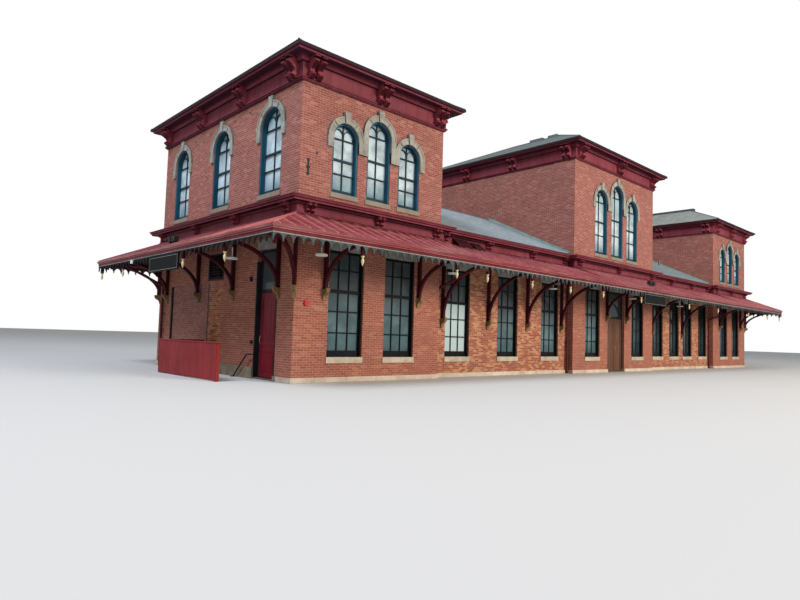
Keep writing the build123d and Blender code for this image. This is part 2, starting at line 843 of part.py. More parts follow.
# Valance boards hung under the fascia, with a joint at each corner
valance_x = eave_x - valance_inset
valance_y = eave_y - valance_inset
with BuildPart() as canopy_valances:
    for sign in (-1, 1):
        block(-valance_x, valance_x, sign * valance_y, sign * (valance_y - valance_thickness),
              fascia_bottom - valance_height, fascia_bottom)
        block(sign * valance_x, sign * (valance_x - valance_thickness),
              -valance_y + valance_thickness + valance_joint,
              valance_y - valance_thickness - valance_joint,
              fascia_bottom - valance_height, fascia_bottom)
canopy_valances.part.label = "canopy_valances"
export_step(canopy_valances.part, "parts/canopy_valances.step")

# Places of the canopy brackets: origin on the wall face, outward direction, foot
# level, distance from the wall to the back of the fascia, and canopy pitch
left_link_brackets = [-link_outer_x + left_link_bracket_start + left_link_bracket_pitch * i
                      for i in range(left_link_bracket_count)]
right_link_brackets = [link_inner_x + place for place in right_link_bracket_places]
pavilion_brackets = [-pavilion_x - pavilion_bracket_offset, -pavilion_x + pavilion_bracket_offset,
                     -centre_bracket_offset, centre_bracket_offset,
                     pavilion_x - pavilion_bracket_offset, pavilion_x + pavilion_bracket_offset]
pavilion_reach = canopy_projection - fascia_thickness
bracket_places = []
for sign in (-1, 1):
    for x in pavilion_brackets:
        bracket_places.append(((x, sign * half_depth, 0), (0, sign, 0),
                               pavilion_bracket_foot, pavilion_reach, pavilion_pitch))
    for x in left_link_brackets + right_link_brackets:
        bracket_places.append(((x, sign * (half_depth - link_setback), 0), (0, sign, 0),
                               link_bracket_foot, pavilion_reach + link_setback, link_pitch))
    for y in end_bracket_places:
        bracket_places.append(((sign * half_length, y, 0), (sign, 0, 0),
                               pavilion_bracket_foot, pavilion_reach, pavilion_pitch))
# The first corner is the left front one, which has lost its pendant
corner_places = [((sx * half_length, sy * half_depth, 0), (sx / sqrt(2), sy / sqrt(2), 0))
                 for sx in (-1, 1) for sy in (-1, 1)]
diagonal_reach = pavilion_reach * sqrt(2) - bracket_thickness / 2
diagonal_frieze = belt_frieze_thickness * sqrt(2) - bracket_thickness / 2


def bracket_profile(foot, reach, pitch, post_back, post_front, frieze):
    """Post, sloping arm and curved brace of one bracket, seen from the side."""
    arm_end = canopy_wall_level - canopy_plate - pitch * (reach - frieze)
    with BuildSketch(Plane.XY, mode=Mode.PRIVATE) as profile:
        with Locations(((post_back + post_front) / 2, (foot + belt_frieze_bottom) / 2)):
            Rectangle(post_front - post_back, belt_frieze_bottom - foot)
        with BuildLine():
            Polyline((frieze, canopy_wall_level - canopy_plate), (reach, arm_end),
                     (reach, arm_end - bracket_arm_height),
                     (frieze, canopy_wall_level - canopy_plate - bracket_arm_height), close=True)
        make_face()
        rise = arm_end - bracket_arm_height / 2 - foot
        run = reach - post_back - bracket_brace_start
        with BuildSketch(Plane.XY, mode=Mode.PRIVATE) as brace:
            with Locations((reach, foot)):
                Ellipse(run, rise)
                Ellipse(run - bracket_brace_depth, rise - bracket_brace_depth,
                        mode=Mode.SUBTRACT)
            with Locations((reach - run / 2, foot + rise / 2)):
                Rectangle(run, rise, mode=Mode.INTERSECT)
        add(brace.sketch)
        with Locations((reach - pendant_inset, (pendant_top + arm_end) / 2)):
            Rectangle(2 * pendant_radius, arm_end - pendant_top)
    return profile.sketch


with BuildPart() as canopy_brackets:
    for origin, outward, foot, reach, pitch in bracket_places:
        shape = bracket_profile(foot, reach, pitch, 0, bracket_post_depth,
                                belt_frieze_thickness)
        extrude(across_wall(origin, outward) * shape, amount=bracket_thickness / 2, both=True)
    for origin, outward in corner_places:
        shape = bracket_profile(pavilion_bracket_foot, diagonal_reach,
                                pavilion_pitch / sqrt(2), -bracket_thickness / 2,
                                bracket_post_depth, diagonal_frieze)
        extrude(across_wall(origin, outward) * shape, amount=bracket_thickness / 2, both=True)
    with BuildSketch(Plane.XY.offset(pavilion_bracket_foot)) as corner_notch:
        plan_outline(0)
    extrude(corner_notch.sketch, amount=belt_top_level - pavilion_bracket_foot,
            mode=Mode.SUBTRACT)
    with BuildSketch(Plane.XY.offset(belt_frieze_bottom)) as frieze_notch:
        plan_outline(belt_frieze_thickness)
    extrude(frieze_notch.sketch, amount=belt_top_level - belt_frieze_bottom,
            mode=Mode.SUBTRACT)
canopy_brackets.part.label = "canopy_brackets"
export_step(canopy_brackets.part, "parts/canopy_brackets.step")


def scroll_profile(depth, height):
    """Scrolled bracket seen from the side, with its top at the sketch's X axis."""
    with BuildSketch(Plane.XY, mode=Mode.PRIVATE) as scroll:
        with BuildLine():
            Polyline((scroll_foot * depth, -height), (0, -height), (0, 0), (depth, 0))
            Bezier((depth, 0), (depth, -scroll_belly * height),
                   (scroll_hollow * depth, -scroll_waist * height),
                   (scroll_foot * depth, -height))
        make_face()
    return scroll.sketch


# Stone corbels under the brackets, and turned pendants at their outer ends
with BuildPart() as bracket_corbels:
    for origin, outward, foot, reach, pitch in bracket_places:
        shape = across_wall(origin, outward) * Pos(0, foot) * scroll_profile(corbel_depth,
                                                                          corbel_height)
        extrude(shape, amount=corbel_width / 2, both=True)
    for origin, outward in corner_places:
        start = -corbel_width / 2
        shape = across_wall(origin, outward) * Pos(start, pavilion_bracket_foot)
        extrude(shape * scroll_profile(corbel_depth - start, corbel_height),
                amount=corbel_width / 2, both=True)
    with BuildSketch(Plane.XY.offset(link_bracket_foot - corbel_height)) as corner_notch:
        plan_outline(0)
    extrude(corner_notch.sketch, amount=belt_top_level, mode=Mode.SUBTRACT)
bracket_corbels.part.label = "bracket_corbels"
export_step(bracket_corbels.part, "parts/bracket_corbels.step")

with BuildPart() as pendant:
    with BuildSketch(Plane.XZ):
        with BuildLine():
            Polyline((0, -pendant_length), (0, 0), (pendant_radius, 0),
                     (pendant_radius, -pendant_neck), (pendant_neck, -pendant_shoulder))
            Bezier((pendant_neck, -pendant_shoulder), (pendant_swell, -pendant_length / 2),
                   (0, -pendant_length))
        make_face()
    revolve(axis=Axis.Z)
with BuildPart() as bracket_pendants:
    for origin, outward, foot, reach, pitch in bracket_places:
        away = reach - pendant_inset
        with Locations((origin[0] + outward[0] * away, origin[1] + outward[1] * away,
                        pendant_top)):
            add(pendant.part)
    for origin, outward in corner_places[1:]:
        away = diagonal_reach - pendant_inset
        with Locations((origin[0] + outward[0] * away, origin[1] + outward[1] * away,
                        pendant_top)):
            add(pendant.part)
bracket_pendants.part.label = "bracket_pendants"
export_step(bracket_pendants.part, "parts/bracket_pendants.step")

# Frieze boards at the head of each tower, and the cornice slab over them
tower_tops = [(centre, width, top) for centre, width, top, *windows in towers]
with BuildPart() as tower_friezes:
    for centre, width, top in tower_tops:
        with BuildSketch(Plane.XY.offset(top - frieze_height)) as frieze:
            with Locations((centre, 0)):
                Rectangle(width + 2 * frieze_thickness, building_depth + 2 * frieze_thickness)
                Rectangle(width, building_depth, mode=Mode.SUBTRACT)
        extrude(frieze.sketch, amount=frieze_height)
tower_friezes.part.label = "tower_friezes"
export_step(tower_friezes.part, "parts/tower_friezes.step")

with BuildPart() as tower_cornices:
    for centre, width, top in tower_tops:
        block(centre - width / 2 - soffit_projection, centre + width / 2 + soffit_projection,
              -half_depth - soffit_projection, half_depth + soffit_projection,
              top, top + crown_step)
        block(centre - width / 2 - crown_projection, centre + width / 2 + crown_projection,
              -half_depth - crown_projection, half_depth + crown_projection,
              top + crown_step, top + crown_height)
tower_cornices.part.label = "tower_cornices"
export_step(tower_cornices.part, "parts/tower_cornices.step")

# Hipped tower roofs: two long slopes and two hips on each, seated on the cornice
edge_y = half_depth + roof_edge_projection
tower_roofs = []
for centre, width, top in tower_tops:
    inset = tower_ridge_inset_centre if centre == 0 else tower_ridge_inset_end
    rise = centre_tower_roof_rise if centre == 0 else end_tower_roof_rise
    half_width = width / 2 + roof_edge_projection
    tower_roofs.append((centre, half_width, top + crown_height + roof_lip, inset, rise))


def seat_on_cornices():
    """Cut the roof plates flat where they bear on the cornices."""
    for centre, width, top in tower_tops:
        block(centre - width / 2 - crown_projection, centre + width / 2 + crown_projection,
              -half_depth - crown_projection, half_depth + crown_projection,
              top, top + crown_height, mode=Mode.SUBTRACT)


for name, sign in (("left", -1), ("right", 1)):
    with BuildPart() as slopes:
        for centre, half_width, edge_level, inset, rise in tower_roofs:
            edge = centre + sign * half_width
            ridge = edge_y - inset
            add(sloped_plate(((edge, -edge_y), (edge, edge_y), (centre, ridge), (centre, -ridge)),
                             (edge, 0, edge_level), (-sign, 0), rise / half_width, roof_plate))
        seat_on_cornices()
    slopes.part.label = f"tower_roof_{name}_slopes"
    export_step(slopes.part, f"parts/tower_roof_{name}_slopes.step")

with BuildPart() as tower_roof_hips:
    for centre, half_width, edge_level, inset, rise in tower_roofs:
        for sign in (-1, 1):
            edge = sign * edge_y
            add(sloped_plate(((centre - half_width, edge), (centre + half_width, edge),
                              (centre, edge - sign * inset)),
                             (centre, edge, edge_level), (0, -sign), rise / inset, roof_plate))
    seat_on_cornices()
tower_roof_hips.part.label = "tower_roof_hips"
export_step(tower_roof_hips.part, "parts/tower_roof_hips.step")

# Link roofs, seated on the link walls and on the crown of the belt cornice
link_wall_y = half_depth - link_setback
link_eave_y = link_wall_y + link_roof_overhang
link_eave_top = belt_top_level + link_roof_thickness
link_roof_pitch = (link_roof_ridge - link_eave_top) / link_eave_y
link_inner_y = link_wall_y - wall_thickness
link_ridge_under = link_roof_ridge - link_roof_thickness
for name, sign in (("front", -1), ("rear", 1)):
    with BuildPart() as link_roof:
        for side in (-1, 1):
            with BuildSketch(Plane.YZ.offset(side * link_centre_x)) as section:
                with BuildLine():
                    Polyline((0, link_roof_ridge), (sign * link_eave_y, link_eave_top),
                             (sign * link_eave_y, belt_top_level),
                             (sign * link_wall_y, belt_top_level),
                             (sign * link_wall_y, belt_level),
                             (sign * link_inner_y, belt_level),
                             (sign * link_inner_y,
                              link_ridge_under - link_roof_pitch * link_inner_y),
                             (0, link_ridge_under), close=True)
                make_face()
            extrude(section.sketch, amount=(link_outer_x - link_inner_x) / 2, both=True)
    link_roof.part.label = f"link_roofs_{name}"
    export_step(link_roof.part, f"parts/link_roofs_{name}.step")


def scroll_pair(face_origin, outward, width, gap, depth, height):
    """A pair of scrolled brackets side by side on a face, tops at the origin's level."""
    along = (-outward[1], outward[0])
    for step in (-1, 1):
        shift = step * (width + gap) / 2
        origin = (face_origin[0] + along[0] * shift, face_origin[1] + along[1] * shift,
                  face_origin[2])
        shape = across_wall(origin, outward) * scroll_profile(depth, height)
        extrude(shape, amount=width / 2, both=True)


# Paired scrolls under the tower cornices and under the belt cornice
with BuildPart() as tower_scrolls:
    face_y = half_depth + frieze_thickness
    for centre, width, top in tower_tops:
        face_x = width / 2 + frieze_thickness
        for sign in (-1, 1):
            for place in (-1, 0, 1):
                x = centre + place * (width / 2 - scroll_corner_inset)
                scroll_pair((x, sign * face_y, top), (0, sign, 0), tower_scroll_width,
                            tower_scroll_gap, tower_scroll_depth, tower_scroll_height)
            for y in end_scroll_places:
                scroll_pair((centre + sign * face_x, y, top), (sign, 0, 0),
                            tower_scroll_width, tower_scroll_gap, tower_scroll_depth,
                            tower_scroll_height)
tower_scrolls.part.label = "tower_scrolls"
export_step(tower_scrolls.part, "parts/tower_scrolls.step")

with BuildPart() as belt_scrolls:
    for sign in (-1, 1):
        belt_y = half_depth + belt_frieze_thickness
        for centre, width in pavilions:
            for place in (-1, 0, 1):
                x = centre + place * (width / 2 - scroll_corner_inset)
                scroll_pair((x, sign * belt_y, belt_soffit_level), (0, sign, 0),
                            belt_scroll_width, belt_scroll_gap, belt_scroll_depth,
                            belt_scroll_height)
        for centre in (-link_centre_x, link_centre_x):
            for place in link_scroll_places:
                scroll_pair((centre + place, sign * (belt_y - link_setback),
                             belt_soffit_level), (0, sign, 0), belt_scroll_width,
                            belt_scroll_gap, belt_scroll_depth, belt_scroll_height)
        for y in end_scroll_places:
            scroll_pair((sign * (half_length + belt_frieze_thickness), y, belt_soffit_level),
                        (sign, 0, 0), belt_scroll_width, belt_scroll_gap, belt_scroll_depth,
                        belt_scroll_height)
belt_scrolls.part.label = "belt_scrolls"
export_step(belt_scrolls.part, "parts/belt_scrolls.step")

# Rainwater pipes in the corners of the links and at the left rear corner; some
# have a sloping leader from the eave of the canopy
pipe_offset = pipe_gap + pipe_radius
leader_top = fascia_bottom - leader_clearance
leader_foot = leader_top - leader_drop
pipe_top = belt_frieze_bottom - pipe_radius


def downspout(foot, outward, reach):
    """Pipe up a wall, with a leader to the eave when it has a reach."""
    x, y = foot[0] + outward[0] * pipe_offset, foot[1] + outward[1] * pipe_offset
    if reach:
        points = ((x, y, 0), (x, y, leader_foot),
                  (foot[0] + outward[0] * reach, foot[1] + outward[1] * reach, leader_top))
        with BuildLine() as path:
            FilletPolyline(*points, radius=pipe_bend)
    else:
        with BuildLine() as path:
            Line((x, y, 0), (x, y, pipe_top))
    with BuildSketch(Plane.XY) as bore:
        with Locations((x, y)):
            Circle(pipe_radius)
    sweep(bore.sketch, path=path.line)
    for level in strap_levels:
        block(min(foot[0], x) - (strap_width / 2 if outward[0] == 0 else 0),
              max(foot[0], x) + (strap_width / 2 if outward[0] == 0 else 0),
              min(foot[1], y) - (strap_width / 2 if outward[1] == 0 else 0),
              max(foot[1], y) + (strap_width / 2 if outward[1] == 0 else 0),
              level, level + strap_height)


leader_reach = pavilion_reach - pipe_radius
with BuildPart() as downspouts:
    for sign in (-1, 1):
        for x, reach in ((-link_outer_x + pipe_corner_inset, leader_reach + link_setback),
                         (-link_inner_x - pipe_corner_inset, 0),
                         (link_outer_x - pipe_corner_inset, leader_reach + link_setback)):
            downspout((x, sign * link_wall_y), (0, sign), reach)
    downspout((-half_length, half_depth - end_pipe_inset), (-1, 0), leader_reach)
downspouts.part.label = "downspouts"
export_step(downspouts.part, "parts/downspouts.step")

# Blank boards fixed to the valance near the middle of the front and of the left end
board_y = eave_y - valance_inset
board_x = eave_x - valance_inset
board_top = fascia_bottom - board_drop
with BuildPart() as hanging_boards:
    block(front_board_place - board_length / 2, front_board_place + board_length / 2,
          -board_y, -board_y - board_thickness, board_top - board_height, board_top)
    block(-board_x, -board_x - board_thickness,
          end_board_place - board_length / 2, end_board_place + board_length / 2,
          board_top - board_height, board_top)
hanging_boards.part.label = "hanging_boards"
export_step(hanging_boards.part, "parts/hanging_boards.step")

# Low board screen beside the end door, on posts, with a return to the stone base
screen_x = -half_length - screen_distance
screen_y = -half_depth + screen_start
screen_far_y = screen_y + screen_length
with BuildPart() as board_screen:
    block(screen_x, screen_x + screen_thickness, screen_y, screen_far_y,
          screen_floor_gap, screen_height)
    block(screen_x, -half_length - end_plinth_projection, screen_far_y - screen_thickness,
          screen_far_y, screen_floor_gap, screen_height)
    for x, y in ((screen_x, screen_y), (screen_x, (screen_y + screen_far_y) / 2),
                 (screen_x, screen_far_y),
                 (-half_length - end_plinth_projection - screen_rail / 2, screen_far_y)):
        block(x - screen_rail / 2, x + screen_rail / 2, y - screen_rail / 2,
              y + screen_rail / 2, 0, screen_height)
board_screen.part.label = "board_screen"
export_step(board_screen.part, "parts/board_screen.step")

# Bent handrail between the end door and the low steps
rail_x = -half_length - handrail_distance
rail_y = door_end + handrail_door_gap
rail_foot_y = rail_y + handrail_level_run + handrail_run
with BuildPart() as entry_handrail:
    with BuildLine() as rail:
        FilletPolyline((rail_x, rail_foot_y, 0),
                       (rail_x, rail_y + handrail_level_run, handrail_height),
                       (rail_x, rail_y, handrail_height),
                       (-half_length, rail_y, handrail_height), radius=handrail_bend)
    with BuildSketch(Plane(origin=rail.line @ 0, z_dir=rail.line % 0)) as tube:
        Circle(handrail_radius)
    sweep(tube.sketch, path=rail.line)
    block(rail_x - handrail_foot, rail_x + handrail_foot, rail_foot_y - handrail_foot,
          rail_foot_y + handrail_foot, 0, handrail_radius)
    block(rail_x - handrail_foot, rail_x + handrail_foot, rail_foot_y - handrail_foot,
          rail_foot_y + handrail_foot, -handrail_foot, 0, mode=Mode.SUBTRACT)
entry_handrail.part.label = "entry_handrail"
export_step(entry_handrail.part, "parts/entry_handrail.step")

# Round lamps on stems under the canopy
def canopy_lamp(x, y, distance, run_end, pitch):
    """Disc lamp hung from the underside of the canopy at a distance from the wall."""
    ceiling = canopy_eave_level - canopy_plate + pitch * (run_end - distance)
    stem_top = ceiling - pitch * lamp_stem_radius
    with Locations((x, y, lamp_level)):
        Cylinder(lamp_radius, lamp_height)
    with Locations((x, y, (lamp_level + stem_top) / 2)):
        Cylinder(lamp_stem_radius, stem_top - lamp_level)


with BuildPart() as canopy_lamps:
    for sign in (-1, 1):
        for x in side_lamp_places:
            on_link = link_inner_x < abs(x) < link_outer_x
            setback = link_setback if on_link else 0
            canopy_lamp(x, sign * (half_depth - setback + lamp_reach), lamp_reach,
                        canopy_projection + setback,
                        link_pitch if on_link else pavilion_pitch)
        canopy_lamp(sign * (half_length + lamp_reach), end_lamp_place, lamp_reach,
                    canopy_projection, pavilion_pitch)
canopy_lamps.part.label = "canopy_lamps"
export_step(canopy_lamps.part, "parts/canopy_lamps.step")

# Vent pipe on the right link roof, and low boxes on the ridge of the middle tower
pipe_x, pipe_y = roof_pipe_place
roof_level = link_roof_ridge - link_roof_pitch * abs(pipe_y)
ridge_level = centre_soffit_level + crown_height + roof_lip + centre_tower_roof_rise
with BuildPart() as roof_vents:
    with Locations((pipe_x, pipe_y, roof_level)):
        Cylinder(roof_pipe_radius, 2 * roof_pipe_rise)
    for y, length in ridge_boxes:
        with Locations((0, y, ridge_level)):
            Box(ridge_box_width, length, 2 * ridge_box_rise)
    with BuildSketch(Plane.YZ.offset(link_centre_x)) as below_link_roof:
        with BuildLine():
            Polyline((0, link_roof_ridge), (-link_eave_y, link_eave_top),
                     (-link_eave_y, 0), (0, 0), close=True)
        make_face()
    extrude(below_link_roof.sketch, amount=(link_outer_x - link_inner_x) / 2, both=True,
            mode=Mode.SUBTRACT)
    half_width = centre_pavilion_width / 2 + roof_edge_projection
    with BuildSketch(Plane.XZ) as below_tower_roof:
        with BuildLine():
            Polyline((0, ridge_level), (half_width, ridge_level - centre_tower_roof_rise),
                     (-half_width, ridge_level - centre_tower_roof_rise), close=True)
        make_face()
    extrude(below_tower_roof.sketch, amount=half_depth, both=True, mode=Mode.SUBTRACT)
roof_vents.part.label = "roof_vents"
export_step(roof_vents.part, "parts/roof_vents.step")
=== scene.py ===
# Looks of a brick railway station building with three hipped towers, two lower links
# and a bracketed canopy all round. Metres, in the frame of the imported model: X along
# the platform front, Y from the front to the rear, Z up, ground at zero.

from functools import partial
from math import cos, pi, radians, sin

import bmesh
import bpy
import numpy as np
from mathutils import Matrix, Vector


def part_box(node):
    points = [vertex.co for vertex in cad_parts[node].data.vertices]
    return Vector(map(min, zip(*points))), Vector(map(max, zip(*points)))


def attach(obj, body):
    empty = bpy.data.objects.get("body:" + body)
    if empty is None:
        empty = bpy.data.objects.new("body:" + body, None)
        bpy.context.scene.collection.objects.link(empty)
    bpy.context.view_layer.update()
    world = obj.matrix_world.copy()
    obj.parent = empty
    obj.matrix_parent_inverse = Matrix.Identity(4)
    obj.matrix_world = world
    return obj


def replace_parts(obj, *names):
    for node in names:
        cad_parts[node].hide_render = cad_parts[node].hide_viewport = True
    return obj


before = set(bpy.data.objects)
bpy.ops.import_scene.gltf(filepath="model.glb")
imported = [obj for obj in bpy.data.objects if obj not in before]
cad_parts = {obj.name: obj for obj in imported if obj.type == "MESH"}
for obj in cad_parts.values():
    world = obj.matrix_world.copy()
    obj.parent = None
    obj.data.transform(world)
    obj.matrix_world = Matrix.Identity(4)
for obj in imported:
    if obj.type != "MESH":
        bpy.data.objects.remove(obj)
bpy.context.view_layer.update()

# The view: the camera stands at eye height off the left front corner, with a 27 mm
# lens, turned as the photograph was taken.
camera_yaw, camera_pitch, camera_roll = radians(42.863), radians(3.464), radians(1.821)
focal_share = 595.9 / 800

camera_data = bpy.data.cameras.new("camera")
camera_data.sensor_width = 36
camera_data.lens = camera_data.sensor_width * focal_share
camera = bpy.data.objects.new("camera", camera_data)
bpy.context.scene.collection.objects.link(camera)
camera.location = (-26.562, -18.272, 1.363)
camera.rotation_mode = "QUATERNION"
forward = np.array([sin(camera_yaw) * cos(camera_pitch), cos(camera_yaw) * cos(camera_pitch),
                    sin(camera_pitch)])
level_right = np.array([cos(camera_yaw), -sin(camera_yaw), 0])
level_up = np.cross(level_right, forward)
tilted_right = level_right * cos(camera_roll) + level_up * sin(camera_roll)
tilted_up = np.cross(tilted_right, forward)
turn = np.array([tilted_right, tilted_up, -forward]).T
camera.rotation_quaternion = Matrix(turn.tolist()).to_quaternion()
bpy.context.scene.camera = camera
bpy.context.scene.view_settings.view_transform = "Standard"

# Brickwork: hard red pressed brick in thin lime mortar, laid in running bond, mottled
# by soot, damp and old repairs. It is the body of every wall, so the wall nodes keep
# their shape and get courses and joints of the real size.
brick_length = 0.203
brick_height = 0.057
brick_joint = 0.0095
course = brick_height + brick_joint


def colour(code):
    """Linear colour of an sRGB hex value: each channel c becomes ((c + 0.055) / 1.055) ** 2.4."""
    channels = [int(code[i:i + 2], 16) / 255 for i in (1, 3, 5)]
    return [c / 12.92 if c <= 0.04045 else ((c + 0.055) / 1.055) ** 2.4 for c in channels] + [1]


def add_node(host, kind, inputs=None, stops=None, **settings):
    """Add a shader node of a kind with its settings to a material or world, and give its
    outputs. An input that is a socket is linked to it. Stops are the places and colours of a
    colour ramp."""
    made = host.node_tree.nodes.new("ShaderNode" + kind)
    for name, value in settings.items():
        setattr(made, name, value)
    for name, value in (inputs or {}).items():
        if isinstance(value, bpy.types.NodeSocket):
            host.node_tree.links.new(value, made.inputs[name])
        else:
            made.inputs[name].default_value = value
    if stops:
        elements = made.color_ramp.elements
        elements.remove(elements[1])
        elements[0].position, elements[0].color = stops[0][0], colour(stops[0][1])
        for position, code in stops[1:]:
            elements.new(position).color = colour(code)
    return made.outputs


def plain(name, code, roughness, metallic=0.0, shine=0.18):
    """A material of one colour. Shine is the strength of its mirroring, low because everything
    outdoors here is dusty or matt."""
    material = bpy.data.materials.new(name)
    material.use_nodes = True
    inputs = material.node_tree.nodes["Principled BSDF"].inputs
    for socket, value in (("Base Color", colour(code)), ("Roughness", roughness),
                          ("Metallic", metallic), ("Specular IOR Level", shine)):
        inputs[socket].default_value = value
    return material


def start_material(name, roughness, shine=0.18):
    """A new material with add_node made ready for it, a point of its surface, the X, Y and Z of
    that point, and the X, Y and Z of the way it faces."""
    material = plain(name, "#808080", roughness, shine=shine)
    add = partial(add_node, material)
    source = add("TexCoord")
    return (material, add, source["Object"], add("SeparateXYZ", {0: source["Object"]}),
            add("SeparateXYZ", {0: source["Normal"]}))


def patterns(add, *kinds):
    """Noises, each given as the point it reads, the count of its clouds or grains in a metre,
    its detail and its roughness."""
    return [add("TexNoise", {"Vector": point, "Scale": per_metre, "Detail": detail,
                                       "Roughness": rough})["Fac"]
            for point, per_metre, detail, rough in kinds]


def stain(add, tone, *layers):
    """Stains laid over a tone, one after another. A stain covers up to most of it, rising from
    nothing between two values of a pattern, and has a colour of its own."""
    for pattern, low, high, most, code in layers:
        cover = add("MapRange", {"Value": pattern, "From Min": low, "From Max": high, "To Max": most})
        tone = add("Mix", {0: cover[0], 6: tone, 7: colour(code)}, data_type="RGBA")[2]
    return tone


def settle(material, tone, height=None, depth=0.0, strength=1.0):
    """Give the surface its colour and, where a height is given, bumps of a depth in metres."""
    tree = material.node_tree
    shader = tree.nodes["Principled BSDF"]
    tree.links.new(tone, shader.inputs["Base Color"])
    if height:
        bump = add_node(material, "Bump", {"Height": height, "Distance": depth, "Strength": strength})
        tree.links.new(bump[0], shader.inputs["Normal"])
    return material


def without_sign(add, *values):
    """The sizes of values."""
    return [add("Math", {0: value}, operation="ABSOLUTE")[0] for value in values]


def flat_wall(add, place, facing, limit=0.5):
    """The wall laid flat: Y where it faces along X by more than a limit, else X, and Z."""
    looks_x = add("Math", {0: without_sign(add, facing["X"])[0], 1: limit}, operation="GREATER_THAN")
    along = add("Mix", {0: looks_x[0], 2: place["X"], 3: place["Y"]})
    return add("CombineXYZ", {"X": along[0], "Y": place["Z"]})[0]


def brickwork(name, tints, mortar, soot, worn, wear, shares=(0, 0.2, 0.8, 1)):
    """Running bond. Each brick takes one of the tints and the joints take the mortar. Soot
    darkens them in clouds a metre wide. Where blotches that keep to whole bricks pass wear,
    the face is rubbed to another tone, and salts bloom in specks of a few centimetres."""
    material, add, point, place, facing = start_material(name, 0.88)
    bond = add("TexBrick",
               {"Vector": flat_wall(add, place, facing), "Color1": (0, 0, 0, 1),
                "Color2": (1, 1, 1, 1), "Mortar": (0.5, 0.5, 0.5, 1), "Scale": 1.0,
                "Mortar Size": brick_joint / 2, "Mortar Smooth": 0.1, "Bias": 0.0,
                "Brick Width": brick_length + brick_joint, "Row Height": course}, offset=0.5)
    clouds, blotches, specks, salty, grit = patterns(
        add, (point, 1.1, 5, 0.65), (point, 2.3, 6, 0.74), (point, 14, 5, 0.8),
        (point, 0.7, 2, 0.5), (point, 38, 3, 0.7))
    face = add("ValToRGB", {"Fac": bond["Color"]}, list(zip(shares, tints)))[0]
    rubbed = add("Math", {0: bond["Color"], 1: 0.3, 2: blotches}, operation="MULTIPLY_ADD")[0]
    bloom = add("MapRange", {"Value": salty, "From Min": 0.55, "From Max": 0.62})[0]
    tone = stain(add, face, (clouds, 0.45, 0.75, 0.6, soot),
                 (rubbed, wear + 0.15, wear + 0.27, 0.68, worn),
                 (specks, 0.66, 0.7, bloom, "#D6C6B6"), (bond["Fac"], 0, 1, 0.75, mortar),
                 (grit, 0, 1, 0.3, "#5E3A32"))
    rough = add("Math", {0: grit, 1: 0.3}, operation="MULTIPLY")
    relief = add("Math", {0: rough[0], 1: bond["Fac"]}, operation="SUBTRACT")
    return settle(material, tone, relief[0], 0.006, 0.9)


def dress(material, *names):
    """Give CAD nodes a finish."""
    for name in names:
        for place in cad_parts[name].material_slots:
            place.material = material


lower_brick = brickwork("lower_brick", ("#8E4B39", "#985441", "#A25E49", "#B07259"), "#C6AE9C",
                        "#7A4A3C", "#B87E56", 0.68)
link_brick = brickwork("link_brick", ("#8C4734", "#98523C", "#A66046", "#B87A58"), "#C6AE9C",
                       "#7A4A3C", "#C6986A", 0.5)
upper_brick = brickwork("upper_brick", ("#82443A", "#8B4E44", "#95584D", "#A56E5F"), "#BCA698",
                        "#70463E", "#A67E6A", 0.68)
dress(lower_brick, "front_pavilion_walls", "rear_pavilion_walls", "walls_over_doors",
      "left_wall", "right_wall")
dress(link_brick, "front_link_walls", "rear_link_walls")
dress(upper_brick, "tower_front_walls", "tower_rear_walls", "tower_end_walls", "tower_inner_walls")

# Base course: rough-dressed pale stone blocks under the walls, rubbed and stained
# near the paving; a higher concrete-faced block runs along the left end.
stone_block = 1.1


def dressed_stone(name, pale, dark, joint=0.0, relief=0.004, soot_level=None):
    """Stone: soft clouds of two tones, pits of 20 mm from fine noise, upright joints, and a
    sooty tone above a level."""
    material, add, point, place, facing = start_material(name, 0.86)
    clouds, pits = patterns(add, (point, 3.1, 6, 0.62), (point, 55, 4, 0.75))
    body = add("ValToRGB", {"Fac": clouds}, [(0.3, dark), (0.75, pale)])[0]
    tone, height = stain(add, body, (pits, 0.62, 0.35, 0.5, dark)), pits
    if soot_level:
        tone = stain(add, tone, (place["Z"], soot_level, soot_level + 0.001, 0.7, "#665E54"))
    if joint:
        blocks = add("TexBrick",
                     {"Vector": flat_wall(add, place, facing), "Scale": 1.0, "Mortar Size": 0.008,
                      "Brick Width": joint, "Row Height": joint / 3, "Color1": colour(pale),
                      "Color2": colour(dark), "Mortar": colour("#4A4038")}, offset=0.5)
        tone = add("Mix", {0: 0.5, 6: tone, 7: blocks["Color"]}, data_type="RGBA",
                   blend_type="MULTIPLY")[2]
        height = add("Math", {0: pits, 1: blocks["Fac"]}, operation="SUBTRACT")[0]
    return settle(material, tone, height, relief, 0.8)


base_stone = dressed_stone("rough_base_stone", "#EADFD0", "#BCAD9B", stone_block, 0.01)
end_stone = dressed_stone("end_base_stone", "#B4A895", "#807462", stone_block, 0.01)
floor_stone = dressed_stone("worn_floor", "#9A948A", "#6E675E", stone_block)
sill_stone = dressed_stone("sawn_sill_stone", "#CFC0AB", "#968876", soot_level=5.0)
hood_stone = dressed_stone("carved_hood_stone", "#ACAAA0", "#727066")
corbel_stone = dressed_stone("painted_corbel_stone", "#98794E", "#5C4830")
dress(base_stone, "plinth_sides")
dress(end_stone, "plinth_ends")
dress(floor_stone, "ground_floor")
dress(sill_stone, "window_sills")
dress(hood_stone, "lower_lintels")
dress(corbel_stone, "bracket_corbels")

